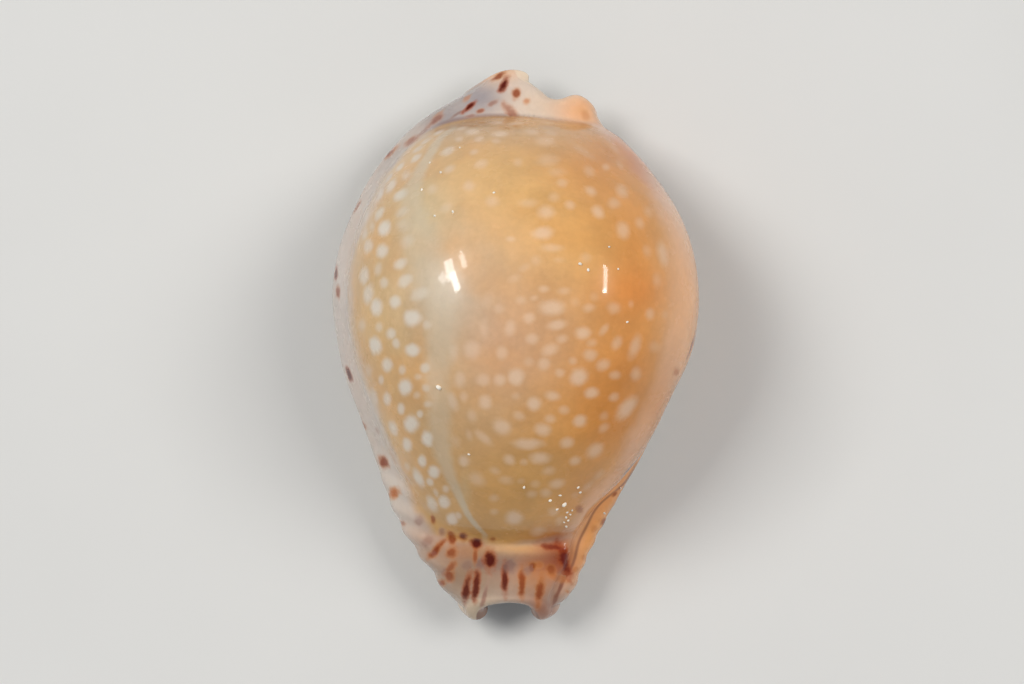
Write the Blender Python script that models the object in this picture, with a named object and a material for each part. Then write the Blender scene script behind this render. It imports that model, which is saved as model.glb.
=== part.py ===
"""A cowrie shell, one piece, in metres, resting on its base with its back up.

The fore (narrow) end points to -Y and the hind (broad) end to +Y. The outer lip is on the -X side and the
inner lip on the +X side. The shell is one thick sheet rolled round a hollow: it starts at the outer lip,
runs out over the base, up over the left margin, the back and the right margin, and comes in under the base
to the inner lip. The slit between the toothed lips and the two spouts at the ends stay open.

Lengths in the form below are millimetres, and the finished points are scaled to metres.
"""

import math

import bmesh
import bpy
import numpy as np

# Driving dimensions, in millimetres
LENGTH = 36.0
BACK_TOP = 19.3
HIGHEST_Y = 3.0
BACK_HIND_REACH = 12.1
BACK_FORE_REACH = 16.75
LIP_NOSE = 0.8
TOOTH_REACH = 0.34
TEETH = 17.75

# Fineness of the mesh
STATIONS = 72
RIM_STEPS = 2
RING_HALF = 28
NOSE_HALF = 2

# Plan of the two margins and of the back, as (Y, X) from the hind end to the fore end
LEFT_MARGIN = [
    (18.4, -0.3), (17.8, -1.3), (17.0, -2.4), (15.1, -5.6), (13.2, -7.8), (11.6, -9.1), (9.3, -10.4),
    (7.0, -11.35), (5.0, -11.85), (3.0, -12.0), (0.7, -11.75), (-1.6, -11.3), (-4.0, -10.45), (-6.3, -9.6),
    (-8.6, -8.8), (-11.0, -7.9), (-13.3, -6.6), (-15.7, -4.9), (-16.5, -4.3), (-17.2, -3.3), (-18.4, -2.0),
]
RIGHT_MARGIN = [
    (18.4, 4.7), (16.0, 4.95), (14.4, 5.7), (11.6, 7.8), (7.0, 10.0), (3.0, 10.9), (-1.6, 10.3), (-6.3, 8.75),
    (-8.6, 7.55), (-11.0, 6.15), (-14.1, 4.6), (-15.7, 3.95), (-16.4, 3.55), (-17.2, 2.55), (-18.4, 1.6),
]
BACK_LEFT = [
    (15.2, -3.4), (14.4, -5.3), (14.0, -5.9), (11.7, -8.1), (8.8, -9.8), (6.2, -10.6), (2.9, -11.0),
    (-0.3, -10.6), (-3.6, -9.6), (-6.8, -8.3), (-9.4, -7.1), (-11.4, -6.1), (-12.7, -5.3), (-14.0, -4.4),
]
BACK_RIGHT = [
    (15.2, 3.9), (14.4, 5.5), (13.2, 7.15), (11.6, 8.6), (10.1, 9.7), (8.5, 10.65), (6.2, 11.5), (3.0, 11.9),
    (1.5, 11.82), (-0.85, 11.3), (-3.2, 10.2), (-6.0, 8.84), (-8.4, 7.2), (-10.3, 5.6), (-11.8, 4.65),
    (-12.7, 4.1), (-14.0, 3.4),
]
RIGHT_GROOVE = [
    (-5.0, 9.4), (-7.7, 7.9), (-8.95, 7.2), (-10.4, 5.5), (-11.9, 4.6), (-12.8, 4.15), (-13.8, 3.9),
    (-14.5, 3.65), (-15.4, 3.15), (-16.1, 2.8), (-17.3, 2.45),
]

# The slit between the lips and the line that the sheet is rolled round
SLIT_LINE = [
    (18.0, 3.1), (16.0, 2.8), (13.0, 1.0), (9.0, -0.9), (3.0, -2.1), (-4.0, -2.0), (-10.0, -1.2),
    (-15.0, -0.4), (-18.0, -0.3),
]
SLIT_WIDTH = [(18.0, 2.3), (14.5, 2.0), (8.0, 1.7), (0.0, 1.8), (-8.0, 2.2), (-14.0, 2.5), (-18.0, 2.5)]
ROLL_X = [
    (18.0, 3.1), (16.0, 2.8), (13.0, 1.6), (9.0, 0.6), (3.0, 0.0), (-4.0, 0.0), (-10.0, -0.4), (-15.0, -0.4),
    (-18.0, -0.3),
]
ROLL_Z = [
    (18.0, 2.7), (16.0, 2.7), (13.0, 3.2), (9.0, 3.9), (3.0, 4.3), (-4.0, 4.1), (-10.0, 3.5), (-14.0, 2.9),
    (-18.0, 2.6),
]

# Height of the margins' upper side and of the base
FLANGE_TOP = [
    (18.2, 4.2), (17.0, 4.9), (16.0, 5.3), (14.5, 5.6), (12.0, 5.7), (3.0, 6.2), (-8.0, 6.3), (-12.0, 6.4),
    (-14.0, 6.2), (-16.0, 5.5), (-17.0, 4.9), (-18.2, 4.3),
]
BASE_LOW = [
    (18.2, 1.4), (15.0, 0.7), (11.0, 0.1), (5.0, -0.2), (-5.0, -0.2), (-10.0, 0.1), (-14.0, 0.6),
    (-18.2, 1.3),
]

# Where each end's rim lies along Y, round the ring: outer lip at 0, top at 0.5, inner lip at 1
HIND_END = [
    (0.0, 15.1), (0.04, 15.5), (0.09, 16.0), (0.14, 16.45), (0.19, 17.2), (0.222, 17.9), (0.243, 18.0),
    (0.262, 17.85), (0.285, 17.5), (0.31, 17.25), (0.335, 17.03), (0.36, 16.83), (0.39, 16.6), (0.43, 16.28),
    (0.48, 16.07), (0.53, 16.08), (0.6, 16.3), (0.66, 16.35), (0.75, 16.0), (0.88, 15.5), (1.0, 15.1),
]
FORE_END = [
    (0.0, -16.4), (0.08, -16.85), (0.14, -17.5), (0.19, -17.95), (0.22, -18.0), (0.28, -17.6), (0.34, -17.15),
    (0.42, -16.9), (0.56, -16.88), (0.63, -17.1), (0.7, -17.7), (0.77, -18.0), (0.86, -17.6), (1.0, -16.6),
]
HIND_RIM = [(0.0, 0.6), (0.2, 0.45), (0.3, 0.5), (0.45, 0.6), (0.6, 0.6), (0.8, 0.8), (1.0, 0.7)]
FORE_RIM = [
    (0.0, 0.7), (0.2, 0.8), (0.35, 0.55), (0.45, 0.45), (0.55, 0.45), (0.65, 0.6), (0.8, 0.8), (1.0, 0.7),
]


def spline(knots, at):
    """Natural cubic curve through (where, value) knots."""
    where, value = np.array(sorted(knots), float).T
    count = len(where)
    gap = np.diff(where)
    matrix = np.eye(count)
    right = np.zeros(count)
    for i in range(1, count - 1):
        matrix[i, i - 1 : i + 2] = gap[i - 1], 2 * (gap[i - 1] + gap[i]), gap[i]
        right[i] = 6 * ((value[i + 1] - value[i]) / gap[i] - (value[i] - value[i - 1]) / gap[i - 1])
    bend = np.linalg.solve(matrix, right)
    at = np.clip(at, where[0], where[-1])
    i = np.clip(np.searchsorted(where, at) - 1, 0, count - 2)
    t = at - where[i]
    slope = (value[i + 1] - value[i]) / gap[i] - gap[i] * (2 * bend[i] + bend[i + 1]) / 6
    return value[i] + slope * t + bend[i] * t**2 / 2 + (bend[i + 1] - bend[i]) * t**3 / (6 * gap[i])


def step(x, low, high):
    """Smooth rise from 0 at low to 1 at high."""
    t = np.clip((x - low) / (high - low), 0, 1)
    return t * t * (3 - 2 * t)


def bump(x, centre, width):
    """Smooth hill of height 1."""
    return np.exp(-(((x - centre) / width) ** 2))


def soft_min(a, b, k):
    """Union of two forms with a rounded valley of width k between them."""
    h = np.clip(0.5 + 0.5 * (b - a) / k, 0, 1)
    return b * (1 - h) + a * h - k * h * (1 - h)


def back_rise(y):
    """Share of the back's full height: 1 at its highest, 0 where it ends."""
    hind = np.clip(1 - np.clip((y - HIGHEST_Y) / BACK_HIND_REACH, 0, None) ** 2.4, 0, 1) ** 0.62
    fore = np.clip(1 - np.clip((HIGHEST_Y - y) / BACK_FORE_REACH, 0, None) ** 1.9, 0, 1) ** 0.75
    return np.where(y > HIGHEST_Y, hind, fore)


class Profile:
    """The outer form's sizes that depend only on the place along Y."""

    def __init__(self, y):
        self.y = y
        self.left, right = spline(LEFT_MARGIN, y), spline(RIGHT_MARGIN, y)
        top, self.low = spline(FLANGE_TOP, y), spline(BASE_LOW, y)
        self.cx, self.cz = (self.left + right) / 2, (top + self.low) / 2
        self.wx, self.wz = (right - self.left) / 2, (top - self.low) / 2
        self.bow = 0.02 * (step(y, 8.0, 13.0) - step(-y, 6.0, 12.0))
        self.back_left, self.back_right = -spline(BACK_LEFT, y), spline(BACK_RIGHT, y)
        self.roll_x, self.roll_z = spline(ROLL_X, y), spline(ROLL_Z, y)
        self.slit, self.width = spline(SLIT_LINE, y), spline(SLIT_WIDTH, y)
        self.power = 2.6 - 0.5 * step(y, -14.0, -6.0) * step(-y, -14.0, -8.0)
        self.valley_left = 1.9 - 1.1 * step(y, 8.0, 13.0) - 1.0 * step(-y, 2.0, 9.0)
        self.valley_right = 1.1 - 0.2 * step(y, 11.0, 14.0) - 0.85 * step(-y, 3.0, 9.0)


def section(p, x, z):
    """Cross-section of the outer form: negative inside, roughly in millimetres."""
    power = np.where(z > p.cz, p.power, 2.6)
    slab = (np.abs((x - p.cx) / p.wx) ** power + np.abs((z - p.cz) / p.wz) ** power) ** (1 / power) - 1
    slab = slab * np.minimum(p.wx, p.wz)
    side = step(x, -6.0, 6.0)
    rise = back_rise(p.y + p.bow * x**2)
    level = p.cz + 0.4 + 2.6 * rise + (0.4 + 1.6 * rise) * side
    up = np.maximum(p.cz + 0.3 + (BACK_TOP - 3.4) * rise - level, 0.02)
    down = np.maximum(level * rise, 0.02)
    close = np.sqrt(np.clip(1 - np.clip(1 - rise / 0.3, 0, 1) ** 2, 0.001, 1))
    half = np.where(x < 0, p.back_left, p.back_right) * close
    tall = np.where(z > level, up, down)
    back = (np.abs(x / half) ** 2.15 + np.abs((z - level) / tall) ** 2.15) ** (1 / 2.15) - 1
    back = back * np.minimum(half, up + 0.5) + 2.0 * step(0.06 - rise, 0.0, 0.06)
    return soft_min(slab, back, p.valley_left + (p.valley_right - p.valley_left) * side)


def skin_radius(p, angle):
    """Distance from the roll line out to the skin, found by halving."""
    low, high = np.zeros_like(angle), np.full_like(angle, 20.0)
    for _ in range(22):
        r = (low + high) / 2
        inside = section(p, p.roll_x + r * np.cos(angle), p.roll_z + r * np.sin(angle)) < 0
        low, high = np.where(inside, r, low), np.where(inside, high, r)
    return (low + high) / 2


def relief(p, x, z, f):
    """Small forms on the outer skin, outward positive."""
    y = p.y
    wave = np.cos(2 * np.pi * (y + 8.9 + 0.5 * (x - p.left)) / 1.68)
    out = 0.11 * wave * bump(f, 0.21, 0.07) * step(-y, 5.0, 11.0)
    out += 0.06 * np.cos(2 * np.pi * y / 1.3) * bump(f, 0.80, 0.06) * step(-y, 8.0, 12.5)
    groove = bump(x, spline(RIGHT_GROOVE, y), 0.40) * step(-y, 8.0, 12.0) * step(y, -17.6, -16.4)
    out -= 0.38 * groove * step(z, 2.6, 3.4)
    fold = bump(y, -13.5 + 0.02 * (x - 1) ** 2, 0.42) * step(x, -3.2, 0.3) * step(-x, -3.9, -3.0)
    out += 0.26 * fold * step(z, 3.6, 4.4)
    hollow = bump(y, -14.6, 0.6) * step(x, -3.6, -2.0) * step(-x, -3.6, -2.6)
    return out - 0.25 * hollow * step(z, 3.6, 4.4)


def wall_thickness(y, f):
    """Thickness of the sheet, most where the inner whorls lie folded along the inner lip."""
    middle = step(y, -15.5, -9.0) * step(-y, -14.5, -8.0)
    ends = 1 - middle
    top = 1.3 - 0.1 * ends
    side = 2.1 * middle + 1.4 * ends - 0.5 * step(y, 14.5, 16.5) * bump(f, 0.265, 0.03)
    low = 2.5 * middle + 1.5 * ends
    edge = np.abs(f - 0.5) * 2
    fold = 2.6 * middle * bump(f, 0.83, 0.13)
    return top + (side - top) * step(edge, 0.25, 0.6) + (low - side) * step(edge, 0.7, 0.95) + fold


def teeth(along, y, inner):
    """Height of the teeth, 0 to 1, along one lip."""
    wave = 0.5 + 0.5 * np.cos(2 * np.pi * (TEETH * along - (0.5 if inner else 0.0)))
    return wave**1.2 * step(y, -16.0, -14.4) * step(-y, -15.0, -13.4)


def lip_height(y):
    """Height of the lips' inner edge above the base."""
    return 2.4 - 0.9 * step(y, 13.0, 17.0) - 0.9 * step(-y, 12.5, 16.5)


def skins(along, tilt, f):
    """Outer and inner skin at the given places.

    along is 0 at the fore end and 1 at the hind end, tilt is the turn of an end's rim, and f runs round the
    ring from the outer lip (0) over the back to the inner lip (1).
    """
    y = (1 - along) * (spline(FORE_END, f) + spline(FORE_RIM, f))
    y = y + along * (spline(HIND_END, f) - spline(HIND_RIM, f))
    p = Profile(y)
    reach = 0.5 * p.width + LIP_NOSE
    start = np.arctan2(0.5 - p.roll_z, p.slit - reach - p.roll_x) % (2 * np.pi)
    end = np.arctan2(0.5 - p.roll_z, p.slit + reach - p.roll_x)
    angle = start + (end - start) * f
    r = skin_radius(p, angle)
    r = r + relief(p, p.roll_x + r * np.cos(angle), p.roll_z + r * np.sin(angle), f)
    ox, oz = p.roll_x + r * np.cos(angle), p.roll_z + r * np.sin(angle)
    # the base turns up to the slit, under the teeth
    gap = np.clip(np.abs(ox - p.slit) - 0.5 * p.width - 0.8 * LIP_NOSE, 0, None)
    lip = step(-oz, -2.6, -1.2) * np.exp(-((gap / 1.25) ** 2))
    tooth = np.where(f < 0.5, teeth(along, y, False), teeth(along, y, True) * np.exp(-gap / 1.5))
    oz = np.maximum(oz + lip * 0.55 - lip * 0.24 * tooth, 0.0)
    # the inner skin covers less of the turn, because the lips' inner edges lie higher
    floor = p.low + lip_height(y)
    start_in = np.arctan2(floor - p.roll_z, p.slit - reach - p.roll_x) % (2 * np.pi)
    end_in = np.arctan2(floor - p.roll_z, p.slit + reach - p.roll_x)
    s = 2 * f - 1
    ratio = np.clip((start - end) / (start_in - end_in), 1.0, 1.45)
    angle = (start_in + end_in) / 2 - (start_in - end_in) / 2 * s * (ratio - (ratio - 1) * s**2)
    r = skin_radius(p, angle) - wall_thickness(y, f)
    ix, iz = p.roll_x + r * np.cos(angle), p.roll_z + r * np.sin(angle)
    # an end's rim draws both skins together and forward
    mx, mz = (ox + ix) / 2, (oz + iz) / 2
    shut = np.cos(tilt)
    rim = np.where(tilt < 0, spline(FORE_RIM, f), spline(HIND_RIM, f))
    y = y + rim * np.sin(tilt)
    outer = np.stack([mx + (ox - mx) * shut, y, mz + (oz - mz) * shut], -1)
    inner = np.stack([mx + (ix - mx) * shut, y, mz + (iz - mz) * shut], -1)
    return outer, inner


def even_steps(along, count):
    """Fractions round each ring that are closer together where the outer skin bends or nears a lip."""
    f = np.linspace(0, 1, 241)
    grid_along, grid_f = np.meshgrid(along, f, indexing="ij")
    outer, _ = skins(grid_along, np.zeros_like(grid_f), grid_f)
    edge = np.diff(outer, axis=1)
    length = np.linalg.norm(edge, axis=-1)
    heading = edge / length[..., None]
    turn = np.arccos(np.clip((heading[:, 1:] * heading[:, :-1]).sum(-1), -1, 1))
    turn = np.pad(turn, ((0, 0), (0, 1)))
    middle = (f[1:] + f[:-1]) / 2
    near_lip = bump(middle, 0.0, 0.06) + bump(middle, 1.0, 0.06)
    weight = length / length.sum(1, keepdims=True) * (1 + 1.2 * near_lip)
    weight = weight + 0.35 * turn / turn.sum(1, keepdims=True)
    kernel = bump(np.arange(-6, 7), 0, 3.0)
    kernel /= kernel.sum()
    padded = np.pad(weight, ((6, 6), (0, 0)), mode="edge")
    weight = sum(k * padded[i : i + len(along)] for i, k in enumerate(kernel))
    run = np.concatenate([np.zeros((len(along), 1)), np.cumsum(weight, axis=1)], axis=1)
    run /= run[:, -1:]
    want = np.linspace(0, 1, count)
    return np.array([np.interp(want, row, f) for row in run])


def lip_nose(outer, inner, side, tooth, tilt, half):
    """Points round a lip's nose from the outer skin's edge to the inner skin's, in rows."""
    turn = np.linspace(0, np.pi, 2 * half + 2)[1:-1]
    middle, reach = (outer + inner) / 2, (outer - inner) / 2
    bulge = (LIP_NOSE + TOOTH_REACH * tooth) * np.cos(tilt)
    points = middle[:, None] + reach[:, None] * np.cos(turn)[None, :, None]
    points[..., 0] += side * bulge[:, None] * np.sin(turn)[None, :] ** 0.85
    return points


def shell_points(stations, rim_steps, ring_half, nose_half):
    """Rings of points from fore end to hind end; each ring runs outer skin, nose, inner skin, nose."""
    rim = np.radians(np.linspace(0, 84, rim_steps + 1)[1:])
    along = np.concatenate([np.zeros(rim_steps), np.linspace(0, 1, stations), np.ones(rim_steps)])
    tilt = np.concatenate([-rim[::-1], np.zeros(stations), rim])
    f = even_steps(along, ring_half)
    grid_along = np.repeat(along[:, None], ring_half, axis=1)
    grid_tilt = np.repeat(tilt[:, None], ring_half, axis=1)
    outer, inner = skins(grid_along, grid_tilt, f)
    right = lip_nose(outer[:, -1], inner[:, -1], -1, teeth(along, outer[:, -1, 1], True), tilt, nose_half)
    left = lip_nose(outer[:, 0], inner[:, 0], 1, teeth(along, outer[:, 0, 1], False), tilt, nose_half)
    # the ring starts half-way round the outer lip's nose, so its two halves face each other
    half = nose_half
    ring = [left[:, half - 1 :: -1], outer, right, inner[:, ::-1], left[:, : half - 1 : -1]]
    return np.concatenate(ring, axis=1)


def tube(rows, columns):
    """Plain tube of rows x columns vertices, with the row and column of each vertex."""
    bm = bmesh.new()
    bmesh.ops.create_cone(
        bm, cap_ends=False, cap_tris=False, segments=columns, radius1=1.0, radius2=1.0, depth=float(rows - 1)
    )
    upright = [e for e in bm.edges if abs(e.verts[0].co.z - e.verts[1].co.z) > 0.5]
    bmesh.ops.subdivide_edges(bm, edges=upright, cuts=rows - 2)
    table = {}
    for v in bm.verts:
        row = round(v.co.z + (rows - 1) / 2)
        column = round(math.atan2(v.co.y, v.co.x) / (2 * math.pi) * columns) % columns
        table[row, column] = v
    return bm, table


def close_end(bm, table, row, columns):
    """Close an end by joining the two facing halves of its ring."""
    half = columns // 2
    chains = []
    for first in (0, half):
        for k in range(first, first + half - 1):
            chains.append(bm.edges.get((table[row, k], table[row, k + 1])))
    bmesh.ops.bridge_loops(bm, edges=chains)


def make_material():
    """Glossy porcelain-like shell, tan."""
    material = bpy.data.materials.new("shell_porcelain")
    material.use_nodes = True
    shader = material.node_tree.nodes["Principled BSDF"]
    shader.inputs["Base Color"].default_value = (0.60, 0.42, 0.25, 1.0)
    shader.inputs["Roughness"].default_value = 0.15
    shader.inputs["Metallic"].default_value = 0.0
    return material


def make_shell():
    """Model the shell and link it to the scene."""
    points = shell_points(STATIONS, RIM_STEPS, RING_HALF, NOSE_HALF) * 0.001
    rows, columns = points.shape[:2]
    bm, table = tube(rows, columns)
    for (row, column), v in table.items():
        v.co = points[row, column]
    close_end(bm, table, 0, columns)
    close_end(bm, table, rows - 1, columns)
    bmesh.ops.triangulate(bm, faces=bm.faces[:])
    bmesh.ops.recalc_face_normals(bm, faces=bm.faces[:])
    mesh = bpy.data.meshes.new("shell")
    bm.to_mesh(mesh)
    bm.free()
    mesh.materials.append(make_material())
    mesh.shade_smooth()
    shell = bpy.data.objects.new("shell", mesh)
    bpy.context.scene.collection.objects.link(shell)
    return shell


def main():
    for thing in list(bpy.data.objects):
        bpy.data.objects.remove(thing)
    make_shell()


main()
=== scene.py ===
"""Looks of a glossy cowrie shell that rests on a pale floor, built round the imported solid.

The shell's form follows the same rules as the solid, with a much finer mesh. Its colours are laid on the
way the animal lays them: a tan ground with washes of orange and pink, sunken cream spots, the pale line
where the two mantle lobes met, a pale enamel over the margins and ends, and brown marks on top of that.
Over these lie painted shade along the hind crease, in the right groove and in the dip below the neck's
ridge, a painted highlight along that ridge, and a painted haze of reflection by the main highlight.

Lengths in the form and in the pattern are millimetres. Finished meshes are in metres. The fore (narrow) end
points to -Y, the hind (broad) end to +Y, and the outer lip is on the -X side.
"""

import logging
import math
import random
from collections.abc import Iterator
from dataclasses import dataclass, field
from enum import Enum

import bmesh
import bpy
import numpy as np
from mathutils import Matrix, Vector
from mathutils.bvhtree import BVHTree


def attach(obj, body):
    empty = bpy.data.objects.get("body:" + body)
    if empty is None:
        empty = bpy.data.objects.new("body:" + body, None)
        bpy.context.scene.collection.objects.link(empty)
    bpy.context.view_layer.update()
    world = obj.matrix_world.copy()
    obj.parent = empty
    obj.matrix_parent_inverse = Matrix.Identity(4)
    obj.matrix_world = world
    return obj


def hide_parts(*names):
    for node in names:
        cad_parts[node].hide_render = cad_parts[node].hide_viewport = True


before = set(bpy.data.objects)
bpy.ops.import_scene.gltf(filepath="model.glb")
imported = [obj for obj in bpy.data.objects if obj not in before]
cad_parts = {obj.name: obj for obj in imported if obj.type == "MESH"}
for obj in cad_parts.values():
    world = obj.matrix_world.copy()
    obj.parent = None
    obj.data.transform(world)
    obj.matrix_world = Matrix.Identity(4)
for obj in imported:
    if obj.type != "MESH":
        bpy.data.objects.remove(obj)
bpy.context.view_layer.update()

LOG = logging.getLogger("cowrie")

MM = 0.001
Curve = tuple[tuple[float, float], ...]
Colour = tuple[float, float, float]
Band = tuple[float, float, float]
Grid = np.ndarray
Socket = bpy.types.NodeSocket
Tube = dict[tuple[int, int], bmesh.types.BMVert]
# a face shows at most two flecks of a kind, the first lying over the second
LAYERS = ("a", "b")


def spline(knots: Curve, at: Grid) -> Grid:
    """Natural cubic curve through knots.

    Args:
        knots: (where, value) pairs in any order.
        at: Places to read the curve at; beyond the end knots the end values hold.

    Returns:
        The curve's values at those places.
    """
    where, value = np.array(sorted(knots), float).T
    count = len(where)
    gap = np.diff(where)
    matrix = np.eye(count)
    right = np.zeros(count)
    for i in range(1, count - 1):
        matrix[i, i - 1 : i + 2] = gap[i - 1], 2 * (gap[i - 1] + gap[i]), gap[i]
        right[i] = 6 * ((value[i + 1] - value[i]) / gap[i] - (value[i] - value[i - 1]) / gap[i - 1])
    bend = np.linalg.solve(matrix, right)
    at = np.clip(at, where[0], where[-1])
    i = np.clip(np.searchsorted(where, at) - 1, 0, count - 2)
    t = at - where[i]
    slope = (value[i + 1] - value[i]) / gap[i] - gap[i] * (2 * bend[i] + bend[i + 1]) / 6
    return value[i] + slope * t + bend[i] * t**2 / 2 + (bend[i + 1] - bend[i]) * t**3 / (6 * gap[i])


def step(x: Grid, low: float, high: float) -> Grid:
    """Smooth rise from 0 at low to 1 at high."""
    t = np.clip((x - low) / (high - low), 0, 1)
    return t * t * (3 - 2 * t)


def bump(x: Grid, centre: Grid | float, width: Grid | float) -> Grid:
    """Smooth hill of height 1."""
    return np.exp(-(((x - centre) / width) ** 2))


def soft_min(a: Grid, b: Grid, k: Grid) -> Grid:
    """Union of two forms with a rounded valley of width k between them."""
    h = np.clip(0.5 + 0.5 * (b - a) / k, 0, 1)
    return b * (1 - h) + a * h - k * h * (1 - h)


def linear(colour: Colour) -> Colour:
    """Scene colour for a colour named in 8-bit display values."""
    parts = [c / 255 for c in colour]
    return tuple(c / 12.92 if c < 0.04045 else ((c + 0.055) / 1.055) ** 2.4 for c in parts)


# Form


@dataclass(frozen=True)
class Plan:
    """Sizes of the shell's outline and relief, in millimetres; curves run along Y."""

    back_top: float = 19.3
    highest_y: float = 3.0
    back_hind_reach: float = 12.1
    back_fore_reach: float = 16.75
    slab_power: float = 2.6
    back_power: float = 2.15
    lip_nose: float = 0.8
    lip_lift: float = 0.55
    tooth_reach: float = 0.34
    tooth_height: float = 0.24
    teeth: float = 17.75
    left_fold: float = 0.11
    left_fold_pitch: float = 1.68
    right_fold: float = 0.06
    right_fold_pitch: float = 1.3
    groove_depth: float = 0.38
    groove_width: float = 0.40
    neck_fold: float = 0.26
    neck_hollow: float = 0.25
    wall_top: float = 1.3
    wall_side: float = 2.1
    wall_low: float = 2.5
    end_wall_top: float = 1.2
    end_wall_side: float = 1.4
    end_wall_low: float = 1.5
    horn_thinning: float = 0.5
    inner_fold: float = 2.6
    left_margin: Curve = (
        (18.4, -0.3), (17.8, -1.3), (17.0, -2.4), (15.1, -5.6), (13.2, -7.8), (11.6, -9.1), (9.3, -10.4),
        (7.0, -11.35), (5.0, -11.85), (3.0, -12.0), (0.7, -11.75), (-1.6, -11.3), (-4.0, -10.45),
        (-6.3, -9.6), (-8.6, -8.8), (-11.0, -7.9), (-13.3, -6.6), (-15.7, -4.9), (-16.5, -4.3),
        (-17.2, -3.3), (-18.4, -2.0),
    )
    right_margin: Curve = (
        (18.4, 4.7), (16.0, 4.95), (14.4, 5.7), (11.6, 7.8), (7.0, 10.0), (3.0, 10.9), (-1.6, 10.3),
        (-6.3, 8.75), (-8.6, 7.55), (-11.0, 6.15), (-14.1, 4.6), (-15.7, 3.95), (-16.4, 3.55), (-17.2, 2.55),
        (-18.4, 1.6),
    )
    back_left: Curve = (
        (15.2, -3.4), (14.4, -5.3), (14.0, -5.9), (11.7, -8.1), (8.8, -9.8), (6.2, -10.6), (2.9, -11.0),
        (-0.3, -10.6), (-3.6, -9.6), (-6.8, -8.3), (-9.4, -7.1), (-11.4, -6.1), (-12.7, -5.3), (-14.0, -4.4),
    )
    back_right: Curve = (
        (15.2, 3.9), (14.4, 5.5), (13.2, 7.15), (11.6, 8.6), (10.1, 9.7), (8.5, 10.65), (6.2, 11.5),
        (3.0, 11.9), (1.5, 11.82), (-0.85, 11.3), (-3.2, 10.2), (-6.0, 8.84), (-8.4, 7.2), (-10.3, 5.6),
        (-11.8, 4.65), (-12.7, 4.1), (-14.0, 3.4),
    )
    right_groove: Curve = (
        (-5.0, 9.4), (-7.7, 7.9), (-8.95, 7.2), (-10.4, 5.5), (-11.9, 4.6), (-12.8, 4.15), (-13.8, 3.9),
        (-14.5, 3.65), (-15.4, 3.15), (-16.1, 2.8), (-17.3, 2.45),
    )
    slit_line: Curve = (
        (18.0, 3.1), (16.0, 2.8), (13.0, 1.0), (9.0, -0.9), (3.0, -2.1), (-4.0, -2.0), (-10.0, -1.2),
        (-15.0, -0.4), (-18.0, -0.3),
    )
    slit_width: Curve = (
        (18.0, 2.3), (14.5, 2.0), (8.0, 1.7), (0.0, 1.8), (-8.0, 2.2), (-14.0, 2.5), (-18.0, 2.5),
    )
    roll_x: Curve = (
        (18.0, 3.1), (16.0, 2.8), (13.0, 1.6), (9.0, 0.6), (3.0, 0.0), (-4.0, 0.0), (-10.0, -0.4),
        (-15.0, -0.4), (-18.0, -0.3),
    )
    roll_z: Curve = (
        (18.0, 2.7), (16.0, 2.7), (13.0, 3.2), (9.0, 3.9), (3.0, 4.3), (-4.0, 4.1), (-10.0, 3.5),
        (-14.0, 2.9), (-18.0, 2.6),
    )
    margin_top: Curve = (
        (18.2, 4.2), (17.0, 4.9), (16.0, 5.3), (14.5, 5.6), (12.0, 5.7), (3.0, 6.2), (-8.0, 6.3),
        (-12.0, 6.4), (-14.0, 6.2), (-16.0, 5.5), (-17.0, 4.9), (-18.2, 4.3),
    )
    base_low: Curve = (
        (18.2, 1.4), (15.0, 0.7), (11.0, 0.1), (5.0, -0.2), (-5.0, -0.2), (-10.0, 0.1), (-14.0, 0.6),
        (-18.2, 1.3),
    )
    hind_end: Curve = (
        (0.0, 15.1), (0.04, 15.5), (0.09, 16.0), (0.14, 16.45), (0.19, 17.2), (0.222, 17.9), (0.243, 18.0),
        (0.262, 17.85), (0.285, 17.5), (0.31, 17.25), (0.335, 17.03), (0.36, 16.83), (0.39, 16.6),
        (0.43, 16.28), (0.48, 16.07), (0.53, 16.08), (0.6, 16.3), (0.66, 16.35), (0.75, 16.0),
        (0.88, 15.5), (1.0, 15.1),
    )
    fore_end: Curve = (
        (0.0, -16.4), (0.08, -16.85), (0.14, -17.5), (0.19, -17.95), (0.22, -18.0), (0.28, -17.6),
        (0.34, -17.15), (0.42, -16.9), (0.56, -16.88), (0.63, -17.1), (0.7, -17.7), (0.77, -18.0),
        (0.86, -17.6), (1.0, -16.6),
    )
    hind_rim: Curve = ((0.0, 0.6), (0.2, 0.45), (0.3, 0.5), (0.45, 0.6), (0.6, 0.6), (0.8, 0.8), (1.0, 0.7))
    fore_rim: Curve = (
        (0.0, 0.7), (0.2, 0.8), (0.35, 0.55), (0.45, 0.45), (0.55, 0.45), (0.65, 0.6), (0.8, 0.8),
        (1.0, 0.7),
    )


@dataclass(frozen=True)
class Fineness:
    """How many rows and columns of points the mesh has, and how the columns share out a ring.

    A ring is surveyed at some places first. Columns stand closer by the lips and where the skin bends, and
    neighbouring rings are blended. The rim's turn is in degrees.
    """

    stations: int = 236
    rim_steps: int = 8
    rim_turn: float = 86.0
    ring_half: int = 174
    nose_half: int = 10
    survey: int = 361
    lip_crowding: float = 1.2
    bend_crowding: float = 0.35
    blended_rings: int = 18
    halvings: int = 22
    farthest: float = 20.0


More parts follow.
